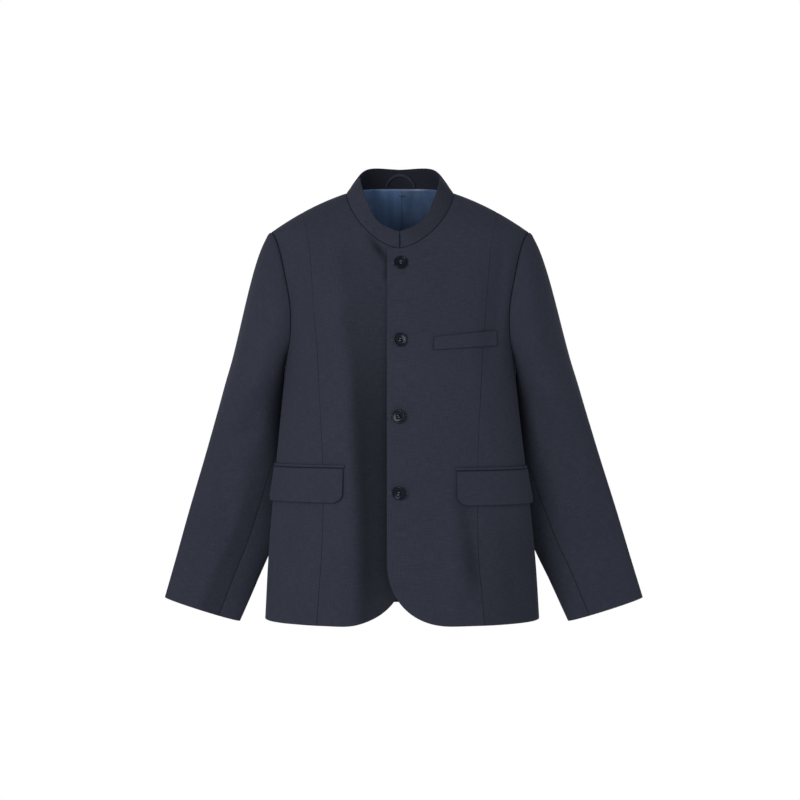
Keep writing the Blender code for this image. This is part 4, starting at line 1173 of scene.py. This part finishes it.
def seat_frame(place):
    """Seat of a button on the over front, and its own sideways, up and outward directions."""
    sideways, nod = math.radians(place.turned), math.radians(place.nodding)
    lift = (BUTTON_RADIUS - 0.0016) * math.sin(math.hypot(sideways, nod))
    seat, outward = body(turn_at(place.aside, place.height), place.height, +1, SEAM_GAP + lift)
    across = np.array([1.0, 0.0, 0.0])
    up = unit(np.cross(outward, across))
    outward = unit(outward - math.tan(sideways) * across - math.tan(nod) * up)
    across = unit(np.cross(up, outward))
    return seat, np.array([across, np.cross(outward, across), outward]).T


def button_profile():
    """Radius and height rows of a button: its foot, its round rim and the fall to the dish."""
    rows = [(BUTTON_RADIUS - inwards, height) for inwards, height in BUTTON_FOOT]
    rim = BUTTON_HIGH - BUTTON_RIM_HIGH
    for angle in np.linspace(0, math.pi, 11):
        radius = BUTTON_RADIUS - BUTTON_RIM_HALF + BUTTON_RIM_HALF * math.cos(angle)
        rows.append((radius, rim + BUTTON_RIM_HIGH * math.sin(angle)))
    for share in np.linspace(0.15, 1, 7):
        radius = BUTTON_RADIUS - 2 * BUTTON_RIM_HALF - BUTTON_SLOPE * share
        rows.append((radius, rim + (BUTTON_RIM_HIGH - BUTTON_DISH) * fade(share, 0, 1)))
    return rows


def drill(button, place, seat, look):
    """Cuts the four thread holes out of a button."""
    cutters = []
    for x, y in ((1, 1), (-1, 1), (-1, -1), (1, -1)):
        points, faces = turned([(BUTTON_HOLE, -0.001), (BUTTON_HOLE, BUTTON_HIGH + 0.001)], 20)
        points += np.array([x * BUTTON_HOLE_AT, y * BUTTON_HOLE_AT, 0])
        cutters.append(add_turned("hole", points @ place.T + seat, faces, look))
    for cutter in cutters:
        cut = button.modifiers.new("hole", "BOOLEAN")
        cut.operation, cut.solver, cut.object = "DIFFERENCE", "EXACT", cutter
    bpy.context.view_layer.update()
    shaped = button.evaluated_get(bpy.context.evaluated_depsgraph_get())
    shaped = bpy.data.meshes.new_from_object(shaped)
    button.modifiers.clear()
    button.data = shaped
    for cutter in cutters:
        bpy.data.objects.remove(cutter)


def add_button(number, spot, gloss, thread):
    """A sew-through button with a raised rim, its four holes and the thread across them."""
    seat, place = seat_frame(spot)
    spin = math.radians(spot.spin)
    turn = [[math.cos(spin), -math.sin(spin), 0], [math.sin(spin), math.cos(spin), 0], [0, 0, 1]]
    place = place @ np.array(turn)
    points, faces = turned(button_profile(), 64)
    made = add_turned(f"button_{number}_turned", points @ place.T + seat, faces, gloss)
    drill(made, place, seat, gloss)
    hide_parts(f"button_{number}")
    low = BUTTON_HIGH - BUTTON_DISH
    strands = []
    for y in (1, -1):
        for aside in (-THREAD_ASIDE, 0.0, THREAD_ASIDE):
            path = []
            for share in np.linspace(-1, 1, 13):
                dive = max(0.0, abs(share) - THREAD_DIVES_AT) / (1 - THREAD_DIVES_AT)
                up = low + THREAD_RISE - THREAD_DIVE * dive
                path.append((share * BUTTON_HOLE_AT, y * BUTTON_HOLE_AT + aside, up))
            strands.append(tube(path, BUTTON_THREAD, 6))
    points, faces = join(strands)
    add_turned(f"button_{number}_thread", points @ place.T + seat, faces, thread)


def add_buttonhole(number, spot, thread):
    """The worked slot under a button: a purl of thread round a cut."""
    left, right = BUTTONHOLE_ENDS
    path = []
    for middle, first in ((right, -math.pi / 2), (left, math.pi / 2)):
        for angle in np.linspace(first, first + math.pi, 9):
            path.append((middle + BUTTONHOLE_HALF * math.cos(angle), BUTTONHOLE_HALF * math.sin(angle)))
    dense = []
    for a, b in zip(path, path[1:] + path[:1]):
        steps = max(1, int(math.dist(a, b) / PURL_STEP))
        dense += [(a[0] + (b[0] - a[0]) * k / steps, a[1] + (b[1] - a[1]) * k / steps) for k in range(steps)]
    points = []
    for k, (x, up) in enumerate(dense):
        x, z = x + spot.aside, spot.height + up
        points.append(body(turn_at(x, z), z, +1, PURL_LIFT + PURL_TWIST * (k % 2))[0])
    points, faces = tube(points, PURL_RADIUS, 6, closed=True)
    add_turned(f"buttonhole_{number}", points, faces, thread)


def add_bar_tack(thread):
    """The short bar of thread that holds the head of the lining's pleat."""
    z = NECK_RISE - TACK_BELOW
    strands = []
    for row in (-TACK_THREAD, TACK_THREAD):
        path = []
        for share in np.linspace(-1, 1, 15):
            x = PLEAT_AT + share * TACK_HALF
            pleat = PLEAT_DEPTH * (1 - 0.5 * fade(abs(share), 0.5, 1.0))
            depth = SHELL_WALL + LINING_WALL + TACK_LIFT + pleat
            path.append(body(2 - turn_at(x, z, BACK_ROUND), z + row, +1, -depth)[0])
        strands.append(tube(path, TACK_THREAD, 6))
    points, faces = join(strands)
    add_turned("bar_tack", points, faces, thread)


# ------------------------------------------------------------------ cuts, and hiding the solids that cloth stands for

# The cut of each piece that shows, without its seam allowances, and what it hangs from by its seam.
# Jets and loop are folded strips; their length is that of both layers, their area of the one that shows.
Cut = namedtuple("Cut", "width length area sewn_to")


def declare(node):
    """Hides the solid that a cloth piece stands for."""
    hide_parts(node)


# ------------------------------------------------------------------ materials


def new_material(name):
    """A material with its node tree and its shader."""
    made = bpy.data.materials.new(name)
    made.use_nodes = True
    return made, made.node_tree, made.node_tree.nodes["Principled BSDF"]


def feed(tree, socket, value):
    """Links a socket to another one, or sets it to a value."""
    if isinstance(value, bpy.types.NodeSocket):
        tree.links.new(value, socket)
    else:
        socket.default_value = value


def feed_all(tree, node, values):
    for key, value in values.items():
        feed(tree, node.inputs[key], value)


def add_node(tree, kind, values=(), **properties):
    """A node with its properties, and its sockets fed by name or place."""
    node = tree.nodes.new(kind)
    for key, value in properties.items():
        setattr(node, key, value)
    feed_all(tree, node, dict(values))
    return node


def noise(tree, place, scale, detail, spread=0.5):
    values = {"Vector": place, "Scale": scale, "Detail": detail, "Roughness": spread}
    return add_node(tree, "ShaderNodeTexNoise", values).outputs["Fac"]


def grain_map(tree):
    return add_node(tree, "ShaderNodeUVMap", uv_map="grain").outputs["UV"]


def grain_noise(tree, scale, detail):
    """Noise on the grain map, stretched by a scale for each direction."""
    place = add_node(tree, "ShaderNodeMapping", {"Vector": grain_map(tree), "Scale": (*scale, 1.0)})
    return noise(tree, place.outputs["Vector"], 1.0, detail, 0.6)


def object_noise(tree, scale, detail):
    return noise(tree, tree.nodes.new("ShaderNodeTexCoord").outputs["Object"], scale, detail)


def ramp(tree, fac, *stops):
    """A ramp of (position, colour) stops; a colour that is one number is a grey."""
    node = add_node(tree, "ShaderNodeValToRGB", {"Fac": fac})
    elements = node.color_ramp.elements
    while len(elements) < len(stops):
        elements.new(0.5)
    for element, (position, colour) in zip(elements, stops):
        element.position = position
        element.color = (*(colour if isinstance(colour, tuple) else 3 * (colour,)), 1.0)
    return node.outputs["Color"]


def blend(tree, mode, fac, a, b):
    """Two colours mixed; fac, a and b are sockets or values."""
    node = add_node(tree, "ShaderNodeMix", data_type="RGBA", blend_type=mode)
    feed_all(tree, node, {"Factor": fac, 6: a, 7: b})
    return node.outputs[2]


def toned(tree, colour, fac, *stops):
    """A colour multiplied by a ramp."""
    return blend(tree, "MULTIPLY", 1.0, colour, ramp(tree, fac, *stops))


def shaded(tree, colour):
    """A colour darkened by the painted shade of seams, deep folds and shaded sides."""
    shade = add_node(tree, "ShaderNodeAttribute", attribute_name="shade").outputs["Fac"]
    return toned(tree, colour, shade, (0.0, 1.0), (1.0, (0.03, 0.03, 0.035)))


def combine(tree, operation, a, b):
    return add_node(tree, "ShaderNodeMath", {0: a, 1: b}, operation=operation).outputs[0]


def weave(tree, pitch):
    """Height of a plain weave on the grain map, from warp and weft bands."""
    values = {"Vector": grain_map(tree), "Scale": 0.314 / pitch, "Distortion": 0.8, "Detail": 1.0}
    bands = []
    for direction in ("X", "Y"):
        wave = add_node(tree, "ShaderNodeTexWave", values, wave_type="BANDS", bands_direction=direction)
        bands.append(wave.outputs["Fac"])
    return combine(tree, "MAXIMUM", *bands)


def bump(tree, height, strength, distance):
    values = {"Height": height, "Strength": strength, "Distance": distance}
    return add_node(tree, "ShaderNodeBump", values).outputs["Normal"]


def make_wool():
    """Navy plain weave wool, heathered, with fine slubs along the weft and the warp."""
    made, tree, shader = new_material("wool_navy_woven")
    weft = grain_noise(tree, (75.0, 850.0), 2.0)
    warp = grain_noise(tree, (850.0, 60.0), 2.0)
    heather = grain_noise(tree, (1300.0, 1300.0), 2.0)
    cloud = grain_noise(tree, (14.0, 10.0), 3.0)
    colour = ramp(tree, heather, (0.30, (0.0186, 0.0214, 0.0338)), (0.70, (0.0243, 0.0275, 0.0412)))
    colour = toned(tree, colour, weft, (0.42, 0.97), (0.74, (1.30, 1.29, 1.26)))
    colour = toned(tree, colour, warp, (0.28, (0.86, 0.86, 0.87)), (0.62, 1.06))
    colour = toned(tree, colour, cloud, (0.30, (0.96, 0.95, 0.97)), (0.70, (1.04, 1.04, 1.02)))
    height = combine(tree, "ADD", weave(tree, 0.0009), weft)
    height = combine(tree, "ADD", height, heather)
    values = {
        "Base Color": shaded(tree, colour),
        "Roughness": ramp(tree, heather, (0.3, 0.82), (0.7, 0.96)),
        "Specular IOR Level": 0.12,
        "Sheen Weight": 0.05,
        "Sheen Roughness": 0.45,
        "Sheen Tint": (0.50, 0.56, 0.85, 1.0),
        "Normal": bump(tree, height, 0.22, 0.00030),
    }
    feed_all(tree, shader, values)
    return made


def make_satin():
    """Blue satin lining: smooth, with a fine twill, soft upright streaks and a soft gloss."""
    made, tree, shader = new_material("lining_satin_woven")
    fine = grain_noise(tree, (900.0, 120.0), 2.0)
    streak = grain_noise(tree, (48.0, 10.0), 3.0)
    colour = ramp(tree, fine, (0.25, (0.067, 0.128, 0.270)), (0.75, (0.089, 0.163, 0.325)))
    colour = toned(tree, colour, streak, (0.32, (0.74, 0.76, 0.79)), (0.68, (1.27, 1.25, 1.20)))
    values = {
        "Base Color": shaded(tree, colour),
        "Roughness": ramp(tree, fine, (0.2, 0.36), (0.8, 0.48)),
        "Specular IOR Level": 0.55,
        "Sheen Weight": 0.12,
        "Normal": bump(tree, fine, 0.12, 0.0002),
    }
    feed_all(tree, shader, values)
    return made


def make_gloss():
    """Polished near-black button material with a faint blue cloud in it."""
    made, tree, shader = new_material("button_polished")
    cloud, fine = object_noise(tree, 260.0, 4.0), object_noise(tree, 900.0, 2.0)
    values = {
        "Base Color": ramp(tree, cloud, (0.30, (0.0015, 0.0020, 0.0040)), (0.70, (0.0040, 0.0050, 0.0090))),
        "Roughness": ramp(tree, fine, (0.3, 0.12), (0.7, 0.16)),
        "Specular IOR Level": 0.17,
        "Specular Tint": (0.72, 0.85, 1.0, 1.0),
    }
    feed_all(tree, shader, values)
    return made


def make_thread(name, dark, light):
    """Twisted sewing thread."""
    made, tree, shader = new_material(name)
    twist = object_noise(tree, 2200.0, 2.0)
    values = {
        "Base Color": ramp(tree, twist, (0.3, dark), (0.7, light)),
        "Roughness": 0.65,
        "Sheen Weight": 0.15,
        "Normal": bump(tree, twist, 0.4, 0.0001),
    }
    feed_all(tree, shader, values)
    return made


def make_floor():
    made, tree, shader = new_material("floor_pale")
    tone = ramp(tree, object_noise(tree, 2.5, 3.0), (0.3, 0.86), (0.7, 0.90))
    feed_all(tree, shader, {"Base Color": tone, "Roughness": 0.9})
    return made


# ------------------------------------------------------------------ stage


VIEW_HEIGHT = -0.338
VIEW_DISTANCE = 3.2
VIEW_WIDE = 1.312  # what the picture shows across at the origin
FLOOR_HEIGHT = -1.20
FLOOR_RADIUS = 0.9


def add_light(name, place, target, size, power, colour):
    lamp = bpy.data.lights.new(name, "AREA")
    lamp.shape = "DISK"
    lamp.size = size
    lamp.energy = power
    lamp.color = colour
    made = bpy.data.objects.new(name, lamp)
    bpy.context.scene.collection.objects.link(made)
    aim = unit(np.array(target) - np.array(place))
    made.location = place
    made.rotation_euler = (math.acos(-aim[2]), 0.0, math.atan2(aim[0], -aim[1]) + math.pi)
    return made


def light_world(tree):
    """White behind the jacket, and a softer light all round that grows weaker towards the top."""
    place = tree.nodes.new("ShaderNodeTexCoord").outputs["Generated"]
    parts = add_node(tree, "ShaderNodeSeparateXYZ", {"Vector": place}).outputs
    high = add_node(tree, "ShaderNodeMapRange", {"Value": parts["Z"], "From Min": -1.0}, clamp=True)
    stops = [(0.0, (0.78, 0.78, 0.79)), (0.45, 0.71), (0.60, 0.63), (1.0, (0.35, 0.35, 0.36))]
    around = ramp(tree, high.outputs["Result"], *stops)
    behind = ramp(tree, parts["Y"], (0.80, 0.0), (0.945, 1.0))
    colour = blend(tree, "MIX", behind, around, (1.0, 1.0, 1.0, 1.0))
    tree.links.new(colour, tree.nodes["Background"].inputs["Color"])


def add_stage():
    scene = bpy.context.scene
    camera = bpy.data.cameras.new("camera")
    camera.sensor_width = 36.0
    camera.lens = camera.sensor_width * VIEW_DISTANCE / VIEW_WIDE
    made = bpy.data.objects.new("camera", camera)
    made.location = (0.0, -VIEW_DISTANCE, VIEW_HEIGHT)
    made.rotation_euler = (math.pi / 2, 0.0, 0.0)
    scene.collection.objects.link(made)
    scene.camera = made
    world = bpy.data.worlds.new("studio")
    world.use_nodes = True
    light_world(world.node_tree)
    scene.world = world
    scene.view_settings.view_transform = "Standard"
    add_light("key", (-1.55, -3.0, 0.1), (0.0, 0.0, -0.35), 1.8, 69.0, (1.0, 0.98, 0.95))
    add_light("fill", (1.7, -2.7, -0.2), (0.0, 0.0, -0.35), 1.6, 9.0, (1.0, 1.0, 1.0))
    points, faces = turned([(FLOOR_RADIUS, -0.01), (FLOOR_RADIUS, 0.0)], 96)
    mesh = bpy.data.meshes.new("floor")
    mesh.from_pydata((points + np.array([0, 0, FLOOR_HEIGHT])).tolist(), [], faces)
    mesh.materials.append(make_floor())
    floor = bpy.data.objects.new("floor", mesh)
    scene.collection.objects.link(floor)


def build():
    wool, satin = make_wool(), make_satin()
    looks = [wool, satin]
    gloss = make_gloss()
    button_thread = make_thread("thread_button", (0.050, 0.055, 0.075), (0.130, 0.140, 0.175))
    hole_thread = make_thread("thread_buttonhole", (0.012, 0.0135, 0.022), (0.030, 0.033, 0.050))
    add_fronts(looks)
    add_back(looks)
    add_lining([satin])
    for side, word in ((+1, "left"), (-1, "right")):
        add_sleeve_part(word, side, True, looks)
        add_sleeve_part(word, side, False, looks)
        add_flap(word, side, looks)
        add_jet(word, side, looks)
    add_collar(looks)
    add_hanger_loop(looks)
    add_breast_welt(looks)
    for k, spot in enumerate(BUTTONS):
        add_button(k + 1, spot, gloss, button_thread)
        add_buttonhole(k + 1, spot, hole_thread)
    add_bar_tack(hole_thread)
    add_stage()


build()
